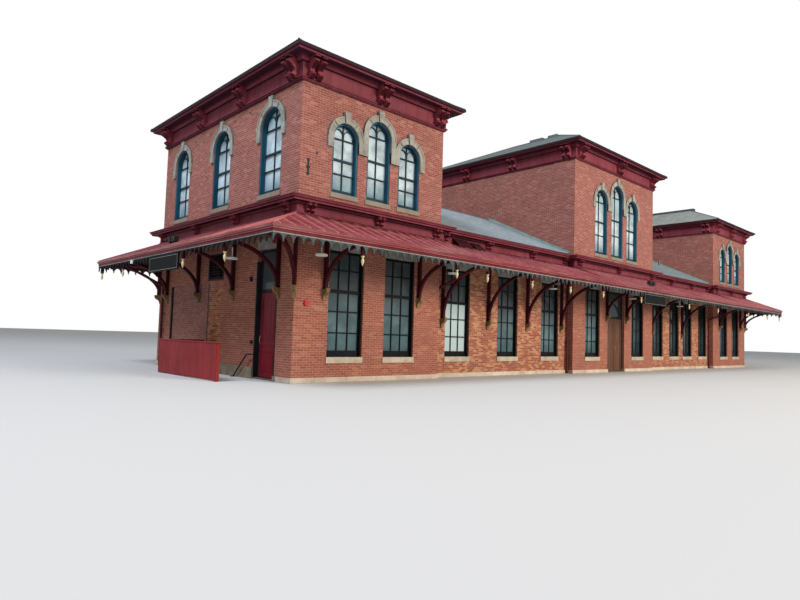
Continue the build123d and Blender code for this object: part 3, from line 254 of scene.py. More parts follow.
# Upper floors: wide pine boards laid side by side in each tower. They can only be seen
# through the windows.
def boards(name, light, dark, width, roughness):
    """Boards side by side along X: a dark line at every board width, and grain along them."""
    material, add, point, place, facing = start_material(name, roughness)
    fibres = add("Mapping", {"Vector": point, "Scale": (14, 1, 1)})[0]
    grain, = patterns(add, (fibres, 3, 5, 0.65))
    across = add("Math", {0: place["X"], 1: width}, operation="FLOORED_MODULO")
    gap = add("Math", {0: across[0], 1: 0.05 * width}, operation="LESS_THAN")[0]
    body = add("ValToRGB", {"Fac": grain}, [(0.3, dark), (0.7, light)])[0]
    fibre = add("Math", {0: grain, 1: 0.3}, operation="MULTIPLY")
    relief = add("Math", {0: fibre[0], 1: gap}, operation="SUBTRACT")
    return settle(material, stain(add, body, (gap, 0, 1, 1, "#1C1210")), relief[0], 0.004)


dress(boards("pine_floor_boards", "#8E6D4C", "#6A4C33", 0.14, 0.6), "upper_floors")

# Plan of the walls, used by every moulding that runs round the building. The two links
# stand back a little from the fronts of the three pavilions.
wall_low, wall_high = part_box("front_pavilion_walls")
half_length, half_depth = wall_high.x, -wall_low.y
link_outer, link_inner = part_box("link_roofs_front")[1].x, 3.805
link_wall = -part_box("front_link_walls")[0].y
quarter = np.array([(-half_length, -half_depth), (-link_outer, -half_depth),
                    (-link_outer, -link_wall), (-link_inner, -link_wall),
                    (-link_inner, -half_depth)])
outer_path = np.concatenate([quarter, (quarter * (-1, 1))[::-1]])
plan = np.concatenate([outer_path, (outer_path * (1, -1))[::-1]])


def carry(outline, points, across, up=(0, 0, 1), ring=False):
    """Carry a closed outline along a path: point (s, c) is points[s] + outline[c].x * across[s]
    + outline[c].y * up[s]. The outline may change along the path. Ends are capped or joined."""
    points, outline = np.asarray(points, float), np.asarray(outline, float)
    if outline.ndim == 2:
        outline = np.broadcast_to(outline, (len(points),) + outline.shape)
    across, up = (np.broadcast_to(np.asarray(way, float), points.shape) for way in (across, up))
    grid = points[:, None] + outline[:, :, :1] * across[:, None] + outline[:, :, 1:] * up[:, None]
    stations, corners = grid.shape[:2]
    s = np.arange(stations if ring else stations - 1)[:, None]
    c = np.arange(corners)[None, :]
    after, beside = (s + 1) % stations, (c + 1) % corners
    faces = np.stack([s * corners + c, s * corners + beside, after * corners + beside,
                      after * corners + c], -1).reshape(-1, 4).tolist()
    if not ring:
        last = (stations - 1) * corners
        faces += [list(range(corners)), list(range(last, last + corners))]
    return grid.reshape(-1, 3), faces


def piece(name, shells, material, body="building"):
    """One object from closed shells, with its faces turned outward, riding on a body."""
    starts = np.cumsum([0] + [len(points) for points, faces in shells])
    points = np.concatenate([points for points, faces in shells])
    faces = [[i + start for i in face] for (_, listed), start in zip(shells, starts) for face in listed]
    mesh = bpy.data.meshes.new(name)
    mesh.from_pydata(points.tolist(), [], faces)
    shape = bmesh.new()
    shape.from_mesh(mesh)
    bmesh.ops.recalc_face_normals(shape, faces=shape.faces)
    shape.to_mesh(mesh)
    shape.free()
    mesh.shade_smooth()
    mesh.set_sharp_from_angle(angle=radians(32))
    mesh.materials.append(material)
    made = bpy.data.objects.new(name, mesh)
    bpy.context.scene.collection.objects.link(made)
    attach(made, body)
    return made


def moulding(path, outline):
    """A moulding round a closed right-angled path, mitred: an outline point (out, height)
    lies on the path moved outward by out, because both walls of a corner move by out."""
    path = np.array(path, float)
    edge = np.roll(path, -1, 0) - path
    edge = edge / np.linalg.norm(edge, axis=1, keepdims=True)
    normal = np.stack([edge[:, 1], -edge[:, 0]], 1)
    flat = ((0, 0), (0, 1))
    return carry(outline, np.pad(path, flat), np.pad(np.roll(normal, 1, 0) + normal, flat), ring=True)


def curve(start, end, bulge, count=6):
    """Points on a cornice curve between two outline points: a straight line plus bulge
    times a sine wave at right angles to it, so the curve is hollow above and round below."""
    start, end = np.array(start, float), np.array(end, float)
    t = np.linspace(0, 1, count)[1:-1, None]
    square = np.array([end[1] - start[1], start[0] - end[0]])
    return [tuple(p) for p in start + (end - start) * t + square * bulge * np.sin(2 * pi * t)]


def rectangle(low_x, high_x, low_y, high_y):
    """Corners of a rectangle in a plane, anticlockwise."""
    return [(low_x, low_y), (high_x, low_y), (high_x, high_y), (low_x, high_y)]


def shifted(out, level, *points):
    """Outline points counted from a distance out and a level."""
    return [(out + x, level + z) for x, z in points]


# Belt cornice: run in painted pine on the wall above the canopy, with a crown moulding,
# a boxed soffit, a bed moulding, a flat frieze and a bead where the canopy meets it.
belt_low, belt_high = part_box("belt_cornice_sides")
belt_top, belt_bottom = belt_high.z, belt_low.z
belt_out = -half_depth - belt_low.y
soffit_level = belt_top - 0.13
frieze_out = 0.08


def weathered_paint(name, fresh, faded, shadow, roughness=0.5, peel="#6B4A42", wear=0.74, under=None):
    """Oil paint on boards or iron: faded in clouds, streaked downward, peeling in flakes of
    30 mm, and, where a colour under is given, dark on faces that look down: painted shade, with some
    soot."""
    material, add, point, place, facing = start_material(name, roughness, 0.07)
    drips = add("Mapping", {"Vector": point, "Scale": (1, 1, 0.12)})[0]
    clouds, streaks, flakes = patterns(add, (point, 0.9, 5, 0.6), (drips, 5, 4, 0.7), (point, 30, 5, 0.8))
    body = add("ValToRGB", {"Fac": clouds}, [(0.32, fresh), (0.7, faded)])[0]
    tone = stain(add, body, (streaks, 0.45, 0.75, 0.6, shadow), (flakes, wear, wear + 0.03, 1, peel))
    # Faces that look down take the colour under: painted shade, with some soot.
    if under:
        tone = stain(add, tone, (facing["Z"], -0.5, -0.501, 1, under))
    return settle(material, tone, flakes, 0.0015, 0.5)


# On the cornices the soffits and other faces that look down take a dark purple: painted shade, with some
# soot.
cornice_red = weathered_paint("cornice_red_paint", "#6C2A33", "#7C3A44", "#4A1C25", under="#3A1C2A")
belt_profile = [
    (0, belt_top),
    *shifted(belt_out, belt_top, (0, 0), (0, -0.02), *curve((0, -0.02), (-0.06, -0.08), 0.18),
             (-0.06, -0.086), (-0.078, -0.09)),
    *shifted(belt_out, soffit_level, (-0.078, -0.01), (-0.098, -0.01), (-0.098, 0)),
    *shifted(frieze_out, soffit_level, (0.06, 0), *curve((0.06, 0), (0.01, -0.06), 0.15),
             (0.01, -0.075), (0, -0.075)),
    *shifted(frieze_out, belt_bottom, (0, 0.235), (0.018, 0.225), (0.018, 0.185), (0, 0.175),
             (0, 0)), (0, belt_bottom)]
belt = piece("belt_cornice", [moulding(plan, belt_profile)], cornice_red)
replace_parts(belt, "belt_cornice_sides", "belt_cornice_ends")

# Tower cornices: a deep boxed eave, with a crown moulding at its lip, a bed moulding at the
# wall, a frieze board and a stepped architrave, all counted from the top of each wall.
towers = [(-half_length, -link_outer, 8.79), (-link_inner, link_inner, 9.80),
          (link_outer, half_length, 8.79)]
eave_soffit = 0.135


def round_towers(*outline):
    """An outline carried round each of the three towers."""
    return [moulding(rectangle(left, right, -half_depth, half_depth), shifted(0, top, *outline))
            for left, right, top in towers]


frieze = piece("tower_frieze_mouldings", round_towers(
    (0, eave_soffit), (0.2, eave_soffit), (0.2, 0.11), *curve((0.2, 0.11), (0.085, 0.015), 0.2),
    (0.085, 0), (0.058, -0.005), (0.058, -0.37), (0.075, -0.38), (0.1, -0.41), (0.1, -0.435),
    (0.07, -0.44), (0.07, -0.475), (0.04, -0.48), (0.04, -0.5), (0, -0.5)), cornice_red)
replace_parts(frieze, "tower_friezes")
crown = piece("tower_crown_mouldings", round_towers(
    (-0.2, eave_soffit), (0.41, eave_soffit), (0.425, 0.123), (0.44, eave_soffit),
    (0.445, 0.165), *curve((0.445, 0.165), (0.5, 0.21), -0.15), (0.505, 0.22), (-0.2, 0.22)),
    cornice_red)
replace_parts(crown, "tower_cornices")

# Scroll brackets: sawn and carved consoles, set in pairs under both cornices. Each has a
# large upper volute, a narrow waist, a small lower volute and a cap board.
# The consoles' faces that look down take a darker red: painted shade, with some soot.
scroll_paint = weathered_paint("scroll_red_paint", "#8A3842", "#9C4C56", "#5A1E28", under="#3A1620")


def right_of(out):
    """The direction to the right along a wall that faces out."""
    return np.array([-out[1], out[0], 0])


def fin(origin, out, outline, low, high):
    """An outline drawn out from a wall and up, carried between two offsets along the wall."""
    return carry(outline, [np.array(origin) + right_of(out) * shift for shift in (low, high)], out)


def circle(x, y, radius, count):
    """Points on a circle in a plane."""
    return [(x + radius * cos(a), y + radius * sin(a))
            for a in np.linspace(0, 2 * pi, count, endpoint=False)]


def console(face, out, top, depth, height, width):
    """One console on a wall face, sawn to an S. At share t of the height down, its front edge
    stands out by depth * (0.26 + 0.74 exp(-((t - 0.2) / 0.22)^2) + 0.3 exp(-((t - 0.79) /
    0.11)^2)): the upper volute, the waist and the lower volute. Discs are the volute eyes and
    a fillet runs down the middle of the front edge."""
    t = np.linspace(0, 1, 24)
    edge = depth * (0.26 + 0.74 * np.exp(-((t - 0.2) / 0.22) ** 2)
                    + 0.3 * np.exp(-((t - 0.79) / 0.11) ** 2))
    edge[-1] = depth * 0.12
    levels = top - 0.03 - (height - 0.035) * t
    shapes = [(rectangle(0, depth * 1.05, top - 0.03, top), width * 0.6)]
    for half, swell in ((width / 2, 0.0), (width * 0.17, 0.012)):
        shapes.append(([(0, levels[0]), *zip(np.minimum(edge + swell, depth * 1.03), levels),
                        (0, levels[-1])], half))
    for away, down, radius, stand in ((0.6, 0.24, 0.27, 0.014), (0.6, 0.24, 0.13, 0.024),
                                      (0.3, 0.8, 0.16, 0.014)):
        shapes.append((circle(depth * away, top - height * down, depth * radius, 12),
                       width / 2 + stand * depth / 0.33))
    return [fin(face, out, outline, -half, half) for outline, half in shapes]


def console_pair(x, y, out, top, depth, height, width, gap):
    """Two consoles side by side."""
    shift = right_of(out) * (width + gap) / 2
    return [shell for side in (-1, 1)
            for shell in console(np.array([x, y, 0]) + side * shift, out, top, depth, height,
                                 width)]


large, small = (0.34, 0.58, 0.13, 0.12), (0.2, 0.28, 0.08, 0.085)  # depth, height, width, gap
corner_inset = 0.32
large_stand = 0.058
side_places = (-4.305, -1.435, 1.435, 4.305)
upper_consoles, lower_consoles = [], []
for sign in (-1, 1):
    side_out, end_out = (0, sign, 0), (sign, 0, 0)
    for left, right, top in towers:
        for x in (left + corner_inset, (left + right) / 2, right - corner_inset):
            upper_consoles += console_pair(x, sign * (half_depth + large_stand), side_out,
                                           top + eave_soffit, *large)
            lower_consoles += console_pair(x, sign * (half_depth + frieze_out), side_out,
                                           soffit_level, *small)
        for y in side_places:
            x = left - large_stand if sign < 0 else right + large_stand
            upper_consoles += console_pair(x, y, end_out, top + eave_soffit, *large)
    for middle in (-(link_inner + link_outer) / 2, (link_inner + link_outer) / 2):
        for place in (-3.8, -1.39, 1.39, 3.8):
            lower_consoles += console_pair(middle + place, sign * (link_wall + frieze_out),
                                           side_out, soffit_level, *small)
    for y in side_places:
        lower_consoles += console_pair(sign * (half_length + frieze_out), y, end_out,
                                       soffit_level, *small)
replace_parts(piece("tower_consoles", upper_consoles, scroll_paint), "tower_scrolls")
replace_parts(piece("belt_consoles", lower_consoles, scroll_paint), "belt_scrolls")

# Hood stones: sandstone arch rings over the round-headed upper windows, each cut from a
# few blocks with upright legs, a raised outer edge, a keystone and thin mortar joints.
front, rear, left_end, right_end = (0, -1, 0), (0, 1, 0), (-1, 0, 0), (1, 0, 0)
hood_width = 0.19
end_places = (-3.1, 0, 3.1)
upper_windows = []
for out, turn_sign in ((front, 1), (rear, -1)):
    for tower_x, radius, pitch, side_spring, middle_spring, foot in (
            (-14.985, 0.46, 1.275, 7.0, 7.39, 6.67), (0, 0.55, 1.5, 7.81, 8.27, 7.48),
            (14.985, 0.46, 1.275, 7.0, 7.39, 6.67)):
        for step, springing, stand, pier in ((-1, side_spring, 0.05, None),
                                             (0, middle_spring, 0.056, (pitch, side_spring)),
                                             (1, side_spring, 0.05, None)):
            upper_windows.append((out, half_depth, turn_sign * tower_x + step * pitch, radius,
                                  springing, foot, stand, pier))
for out in (left_end, right_end):
    for place in end_places:
        upper_windows.append((out, half_length, place, 0.6, 7.32, 6.99, 0.056, None))


def slabs(out, back, *shapes):
    """Slabs on a wall that faces out. Each is an outline, drawn along the wall to the right and
    up, and its depth, counted from a distance out."""
    out = np.array(out, float)
    return [carry(outline, [out * back, out * (back + depth)], right_of(out))
            for outline, depth in shapes]


def arch(centre, springing, radius):
    """Half circle over a springing level, from right to left."""
    angle = np.linspace(0, pi, 24)
    return list(zip(centre + radius * np.cos(angle), springing + radius * np.sin(angle)))


def arch_ring(centre, springing, outer, inner, foot):
    """Outline of a ring over a round head, with legs down to the foot."""
    return [(centre + outer, foot), *arch(centre, springing, outer), (centre - outer, foot),
            (centre - inner, foot), *arch(centre, springing, inner)[::-1], (centre + inner, foot)]


hoods, joints = [], []
for out, wall, place, radius, springing, foot, stand, pier in upper_windows:
    outer = radius + hood_width
    head, tip = springing + radius - 0.015, springing + outer + 0.13
    shapes = [(arch_ring(place, springing, outer, radius, foot), stand),
              (arch_ring(place, springing, outer, outer - 0.045, springing), stand + 0.012),
              ([(place - 0.075, head), (place + 0.075, head), (place + 0.115, tip),
                (place - 0.115, tip)], 0.09)]
    if pier:
        far = pier[0] - radius
        shapes += [(rectangle(place + low, place + high, foot, pier[1]), 0.053)
                   for low, high in ((-far, -radius), (radius, far))]
    hoods += slabs(out, wall, *shapes)
    for angle in (0.95, pi / 2 + 0.17, pi - 0.75):
        direction = np.array([cos(angle), sin(angle)])
        side = np.array([-direction[1], direction[0]]) * 0.004
        near, far = (np.array([place, springing]) + direction * (radius + reach)
                     for reach in (0.004, 0.186))
        joints += slabs(out, wall + 0.02, ([near - side, far - side, far + side, near + side], 0.0495))
hood_piece = piece("hood_stones_cut", hoods, hood_stone)
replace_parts(hood_piece, "hood_stones")
dark_joint = plain("dark_lime_mortar", "#544C40", 0.95)
piece("hood_stone_joints", joints, dark_joint)

# Upper sashes: blue painted pine. Each round head has a lining in the brick reveal, a
# middle bar, three rails and two small arched bars under the head.
sash_blue = weathered_paint("sash_blue_paint", "#1A4558", "#26586C", "#112F3E", 0.45, "#7D8A8C", 0.8)
bar_blue = weathered_paint("sash_bar_dark_blue", "#16262F", "#223842", "#0D181E", 0.45, "#4C5A60", 0.8)
dress(sash_blue, "upper_window_frames")
upper_sill = 5.38
glass_inset = 0.166


def upright(middle, width, bottom, top):
    """Corners of a rectangle about an upright line."""
    return rectangle(middle - width / 2, middle + width / 2, bottom, top)


linings, bars = [], []
for out, wall, place, radius, springing, *others in upper_windows:
    linings += slabs(out, wall - 0.12,
                     (arch_ring(place, springing, radius, radius - 0.055, upper_sill), 0.1))
    clear = radius - 0.07
    arm = clear * 0.48
    shapes = [(upright(place, 0.028, upper_sill + 0.07, springing + clear - 0.004), 0.038),
              (upright(place, 2 * clear, upper_sill + 0.06, upper_sill + 0.13), 0.046)]
    for part, thick in ((0.366, 0.028), (0.62, 0.06), (1.0, 0.03)):
        level = upper_sill + part * (springing - upper_sill)
        shapes.append((upright(place, 2 * clear, level - thick / 2, level + thick / 2), 0.05))
    for centre in (place - arm, place + arm):
        shapes.append((arch_ring(centre, springing + 0.3 * clear, arm, arm - 0.022,
                                 springing - 0.01), 0.042))
    bars += slabs(out, wall - glass_inset, *shapes)
piece("upper_window_linings", linings, sash_blue)
piece("upper_sash_bars", bars, bar_blue)

# Lower sashes: near-black painted pine, three panes wide, with a thick meeting rail. The
# stone sills and heads stay as they are.
lower_windows = [(rear, half_depth, 0)] + [(right_end, half_length, y) for y in end_places]
for out, turn_sign in ((front, 1), (rear, -1)):
    for wall, places in ((half_depth, (-16.035, -13.935, -2.17, 2.17, 13.935, 16.035)),
                         (link_wall, (-10.865, -7.985, -5.105, 5.145, 7.245, 9.045, 11.295))):
        lower_windows += [(out, wall, turn_sign * x) for x in places]
sash_black = weathered_paint("sash_black_paint", "#0D0F12", "#16191C", "#070809", 0.45, "#3A3F42", 0.86)
dress(sash_black, "lower_window_frames")
lower_sill, lower_head = 0.71, 3.75
lower_clear = 0.565
lower_bars = []
for out, wall, place in lower_windows:
    shapes = [(upright(place + shift, 0.03, lower_sill + 0.07, lower_head - 0.07), 0.032)
              for shift in (-lower_clear / 3, lower_clear / 3)]
    for level, thick in ((0.83, 0.13), (1.40, 0.03), (2.01, 0.03), (2.59, 0.09), (3.2, 0.03)):
        shapes.append((upright(place, 2 * lower_clear, level - thick / 2, level + thick / 2), 0.042))
    lower_bars += slabs(out, wall - glass_inset, *shapes)
    for edge in (place - lower_clear - 0.045, place + lower_clear + 0.045):
        lower_bars += slabs(out, wall - 0.12, (upright(edge, 0.04, lower_sill, lower_head), 0.065))
piece("lower_sash_bars", lower_bars, sash_black)

# Glass: old drawn panes, tinted with painted reflection and painted shade, pale above, where
# they mirror the sky, and dark below. Faint waves in the sheet bend what it mirrors.
def window_glass(name, painted_reflection_bands, painted_glass_shade=None, blind=None):
    """Glass whose tint changes with height, given as levels and colours: painted reflection of the
    sky and painted shade, with pale curtains behind the upper panes. Where two values of X are given
    as painted glass shade, it gets darker from the one to the other. A blind, given as a middle, a
    half width and two levels, shows pale behind the panes of the front."""
    material, add, point, place, facing = start_material(name, 0.06, 0.08)
    # The tints by height are painted reflection and painted shade, with curtains behind the upper panes.
    low, high = painted_reflection_bands[0][0], painted_reflection_bands[-1][0]
    rise = add("MapRange", {"Value": place["Z"], "From Min": low, "From Max": high})
    tint = add("ValToRGB", {"Fac": rise[0]},
               [((level - low) / (high - low), code) for level, code in painted_reflection_bands])[0]
    clouds, waves = patterns(add, (point, 1.6, 4, 0.6), (point, 2.5, 2, 0.5))
    tone = stain(add, tint, (clouds, 0.4, 0.62, 0.45, "#24343A"))
    if painted_glass_shade:
        # Painted shade: the panes darken between two values of X.
        tone = stain(add, tone, (place["X"], *painted_glass_shade, 0.78, "#141B1E"))
    if blind:
        middle, half, bottom, top = blind
        near = add("Math", {0: place["X"], 1: middle, 2: half}, operation="COMPARE")
        at_front = add("MapRange", {"Value": place["Y"], "From Min": 0,
                                              "From Max": -0.001, "To Max": near[0]})
        between = add("Math", {0: place["Z"], 1: (bottom + top) / 2,
                                         2: (top - bottom) / 2}, operation="COMPARE")
        tone = stain(add, tone, (between[0], 0, 1, at_front[0], "#A9BCBC"))
    return settle(material, tone, waves, 0.004, 0.4)


lower_glass = window_glass(
    "lower_window_panes", [(0.71, "#44595D"), (1.5, "#5A7074"), (2.4, "#525F61"),
                           (2.7, "#464B4B"), (3.75, "#494948")], (0, 1),
    (-10.865, 0.6, 0.8, 2.55))
upper_glass = window_glass(
    "upper_window_panes", [(5.3, "#4E6A72"), (5.7, "#8EA5AC"), (6.1, "#BACBCF"),
                           (7.0, "#B8C9CD"), (7.7, "#9FB4BA"), (9.0, "#93A8B0")])
dress(lower_glass, "lower_window_glass", "transom_glass")
dress(upper_glass, "upper_window_glass")

# Canopy: a light roof of tongued boards covered with red painted sheet metal, with
# standing seams up the slope, a rolled gutter lip, and a moulded fascia at the eave.
canopy_low, canopy_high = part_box("canopy_sides")
eave_x, eave_y = canopy_high.x, canopy_high.y
eave_level, wall_level = 3.85, 4.59
fascia_bottom = canopy_low.z
canopy_wall, canopy_link, canopy_end = (wall + frieze_out
                                        for wall in (half_depth, link_wall, half_length))
pavilion_pitch, link_pitch = ((wall_level - eave_level) / (eave_y - wall)
                              for wall in (canopy_wall, canopy_link))
plate_depth = 0.06
board_rise = 0.036


def plate(corners):
    """A roof slab under the given upper corners, of even depth straight down."""
    top = np.array(corners, float)
    count = len(top)
    faces = [list(range(count)), list(range(2 * count - 1, count - 1, -1))]
    faces += [[i, (i + 1) % count, (i + 1) % count + count, i + count] for i in range(count)]
    return np.concatenate([top, top - (0, 0, plate_depth)]), faces


def roof_metal(name, code, pale, streak_and_sheen, dark, under):
    """Painted sheet: clouds, pale streaks along the eave, partly chalky fading and partly painted
    sheen, rust specks of 60 mm above, and dark tongued boards underneath, darker still as painted shade."""
    material, add, point, place, facing = start_material(name, 0.34)
    runs = add("Mapping", {"Vector": point, "Scale": (0.5, 0.5, 26)})[0]
    clouds, chalk_and_sheen, rust = patterns(add, (point, 0.7, 5, 0.6), (runs, 1.3, 4, 0.7), (point, 16, 6, 0.8))
    body = add("ValToRGB", {"Fac": clouds}, [(0.35, code), (0.7, pale)])[0]
    # Faces that look down are the boards underneath: their near-black is partly dark paint, partly
    # painted shade.
    below = add("Math", {0: facing["Z"], 1: -0.3}, operation="LESS_THAN")[0]
    rise = add("Math", {0: place["Z"], 1: board_rise}, operation="FLOORED_MODULO")
    groove = add("Math", {0: rise[0], 1: 0.14 * board_rise}, operation="LESS_THAN")[0]
    # The pale streaks are partly chalky fading of the paint, partly painted sheen.
    return settle(material, stain(
        add, body, (chalk_and_sheen, 0.5, 0.7, 0.6, streak_and_sheen), (rust, 0.6, 0.7, 0.7, dark),
        (below, 0, 1, 1, under), (groove, 0, 1, below, "#16080C")))


canopy_red = roof_metal("canopy_red_metal", "#5C1C20", "#702B2C", "#B0827C", "#3E1417", "#1C0A12")
# The gutter lip and the fascia board are one red paint: the board under the lip takes a darker copy of it
# as painted shade, and the lip's faces that look down take painted shade too.
fascia_red = weathered_paint("fascia_red_paint", "#983C40", "#B06164", "#6E282E", 0.4, under="#4A1A20")
fascia_painted_shade = weathered_paint("fascia_red_painted_shade", "#571B22", "#6C2A30", "#38101A", 0.45)
sheets = []
bay_ends = [(-eave_x, -canopy_end), *((x, x) for x in (-link_outer, -link_inner, link_inner,
                                                       link_outer)), (eave_x, canopy_end)]
for sign in (-1, 1):
    for i, (start, end) in enumerate(zip(bay_ends[:-1], bay_ends[1:])):
        inner = sign * (canopy_link if i % 2 else canopy_wall)
        sheets.append(plate([(start[0], sign * eave_y, eave_level),
                             (end[0], sign * eave_y, eave_level),
                             (end[1], inner, wall_level), (start[1], inner, wall_level)]))
    sheets.append(plate([(sign * eave_x, -eave_y, eave_level), (sign * eave_x, eave_y, eave_level),
                         (sign * canopy_end, canopy_wall, wall_level),
                         (sign * canopy_end, -canopy_wall, wall_level)]))
eave_path = rectangle(-eave_x, eave_x, -eave_y, eave_y)
gutter_lip = shifted(0, eave_level, (-0.02, 0.004), (-0.004, -0.004), (0, -0.02), (-0.002, -0.045),
                     (-0.012, -0.056), *curve((-0.012, -0.056), (-0.036, -0.105), 0.2),
                     (-0.09, -0.105), (-0.09, -0.03))
fascia_board = [
    *shifted(0, eave_level, (-0.09, -0.105), (-0.036, -0.105), (-0.036, -0.112), (-0.044, -0.114)),
    *shifted(0, fascia_bottom, (-0.044, 0.02), (-0.038, 0.016), (-0.038, 0), (-0.09, 0))]
canopy_piece = piece("canopy_boards", sheets, canopy_red)
fascia_piece = piece("canopy_fascia", [moulding(eave_path, fascia_board)], fascia_painted_shade)
piece("canopy_gutter_lip", [moulding(eave_path, gutter_lip)], fascia_red)
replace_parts(canopy_piece, "canopy_sides")
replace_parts(fascia_piece, "canopy_ends")
seam_pitch, seam_width, seam_height = 0.42, 0.022, 0.03


def seam(start, end):
    """One standing seam between two points of a roof slope."""
    start, end = np.array(start, float), np.array(end, float)
    side = np.cross(end - start, (0, 0, 1))
    side = side / np.linalg.norm(side) * seam_width / 2
    return carry(rectangle(-1, 1, -0.004, seam_height), [start, end], side)


seams = []
for sign in (-1, 1):
    for x in np.arange(-eave_x + seam_pitch / 2, eave_x, seam_pitch):
        reach = canopy_link if link_inner < abs(x) < link_outer else canopy_wall
        reach = max(reach, abs(x) - half_length + half_depth)
        pitch = link_pitch if reach < canopy_wall else pavilion_pitch
        seams.append(seam((x, sign * (eave_y - 0.03), eave_level + 0.03 * pitch),
                          (x, sign * reach, eave_level + pitch * (eave_y - reach))))
    for y in np.arange(-eave_y + seam_pitch / 2, eave_y, seam_pitch):
        reach = max(canopy_end, abs(y) - half_depth + half_length)
        seams.append(seam((sign * (eave_x - 0.03), y, eave_level + 0.03 * pavilion_pitch),
                          (sign * reach, y, eave_level + pavilion_pitch * (eave_x - reach))))
    for side in (-1, 1):
        seams.append(seam((sign * (eave_x - 0.05), side * (eave_y - 0.05),
                           eave_level + 0.05 * pavilion_pitch),
                          (sign * canopy_end, side * canopy_wall, wall_level)))
# The seams are painted paler than the sheet: partly faded paint, partly painted highlight.
seam_pink = weathered_paint("seam_faded_paint_and_highlight", "#A25458", "#C07C7A", "#6E2A30", 0.35)
piece("canopy_seams", seams, seam_pink)

# Valance: a pine board hung under the fascia, sawn into pointed teeth between half-oval
# cuts. A stretch near the left front corner has lost the tips of its teeth.
valance_low, valance_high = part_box("canopy_valances")
valance_thickness = 0.03
tooth_pitch, cut_half, cut_top, broken_tip = 0.275, 0.125, 3.64, 3.55


def toothed_board(start, end, inward, worn=(0, 0)):
    """A board along a line with its lower edge cut: at a distance s from the middle of a cut
    the edge is at tip + (cut_top - tip) * sqrt(1 - (s / cut_half)^2), and flat beyond. In a
    worn stretch two teeth of every three are broken, nowhere lower than broken_tip."""
    start, end = np.array([*start, 0]), np.array([*end, 0])
    length = np.linalg.norm(end - start)
    count = round(length / tooth_pitch)
    pitch = length / count
    angle = np.linspace(0, pi, 15)
    tip = valance_low.z
    places, edges = [0], [tip]
    for i in range(count):
        lowest = broken_tip if worn[0] < i * pitch < worn[1] and i % 3 != 1 else tip
        places += list((i + 0.5) * pitch - cut_half * np.cos(angle))
        edges += list(np.maximum(tip + (cut_top - tip) * np.sin(angle), lowest))
    places.append(length)
    edges.append(tip)
    outlines = [rectangle(0, valance_thickness, z, fascia_bottom) for z in edges]
    return carry(outlines, [start + (end - start) / length * s for s in places], inward)


tooth_grey = weathered_paint("valance_grey_paint", "#3C4446", "#50595A", "#242A2B", 0.7, "#7A766C")
# The teeth on the two ends take a near-black copy of the grey paint as painted shade.
end_valance_painted_shade = weathered_paint("end_valance_grey_painted_shade", "#15181A", "#202426", "#0C0E0F", 0.7, "#4A4842", 0.76)
pale_bead = weathered_paint("pale_bead_paint", "#8F8B82", "#A39F95", "#66625A", 0.6)
valance_x, valance_y = valance_high.x, valance_high.y
inner_y = valance_y - valance_thickness - 0.01
valance = piece("valance_teeth", [
    toothed_board((-valance_x, -valance_y), (valance_x, -valance_y), (0, 1, 0), (6, 8)),
    toothed_board((valance_x, valance_y), (-valance_x, valance_y), (0, -1, 0))], tooth_grey)
piece("end_valance_teeth", [
    toothed_board((-valance_x, inner_y), (-valance_x, -inner_y), (1, 0, 0)),
    toothed_board((valance_x, -inner_y), (valance_x, inner_y), (-1, 0, 0))], end_valance_painted_shade)
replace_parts(valance, "canopy_valances")
valance_path = rectangle(-valance_x, valance_x, -valance_y, valance_y)
piece("valance_bead", [moulding(valance_path, shifted(
    0, fascia_bottom, (0.002, -0.028), (0.008, -0.016), (0.002, -0.004), (-0.004, -0.004),
    (-0.004, -0.028)))], pale_bead)

# Canopy brackets: bandsawn oak, a post against the wall, an arm under the boards and a
# curved brace, with chamfer beads, a ring in the corner and turned pendants.
bracket_paint = weathered_paint("bracket_dark_red", "#340C13", "#46131B", "#1C070B", 0.5, "#6E5A4C", 0.84)
pendant_cream = weathered_paint("pendant_cream_paint", "#CDBD92", "#DDCFA8", "#98875F", 0.5,
                                "#7D5C44", 0.76)
dress(bracket_paint, "canopy_brackets")
dress(pendant_cream, "bracket_pendants")
on_pavilion, on_link = (2.63, 1.70, pavilion_pitch, 4.17), (2.04, 2.0, link_pitch, 4.14)
brackets = []
for sign in (-1, 1):
    for x in (-16.825, -13.145, -0.955, 0.955, 13.145, 16.825):
        brackets.append(((x, sign * half_depth, 0), (0, sign, 0), *on_pavilion))
    for x in (-11.685, -9.225, -6.765, -4.305, 4.305, 8.205):
        brackets.append(((x, sign * link_wall, 0), (0, sign, 0), *on_link))
    for y in (-3.88, -1.25, 1.25, 3.88):
        brackets.append(((sign * half_length, y, 0), (sign, 0, 0), *on_pavilion))
bracket_half = 0.045


def tube(points, radius, around=8, ring=False):
    """A round bar along a path: circles square to the mean direction at each point."""
    points = np.asarray(points, float)
    step = np.roll(points, -1, 0) - np.roll(points, 1, 0)
    if not ring:
        step[0], step[-1] = points[1] - points[0], points[-1] - points[-2]
    step /= np.linalg.norm(step, axis=1, keepdims=True)
    guide = (0, 0, 1) if abs(step[:, 2]).max() < 0.9 else (0.31, 0.83, 0.47)
    side = np.cross(step, guide)
    side /= np.linalg.norm(side, axis=1, keepdims=True)
    return carry(circle(0, 0, radius, around), points, side, np.cross(side, step), ring)


def raised(origin, out, points, offset=0.0):
    """Points given by a distance out and a level, in the upright plane at an offset to the
    right of an origin."""
    return [np.array(origin) + np.array(out) * away + right_of(out) * offset + (0, 0, level)
            for away, level in points]


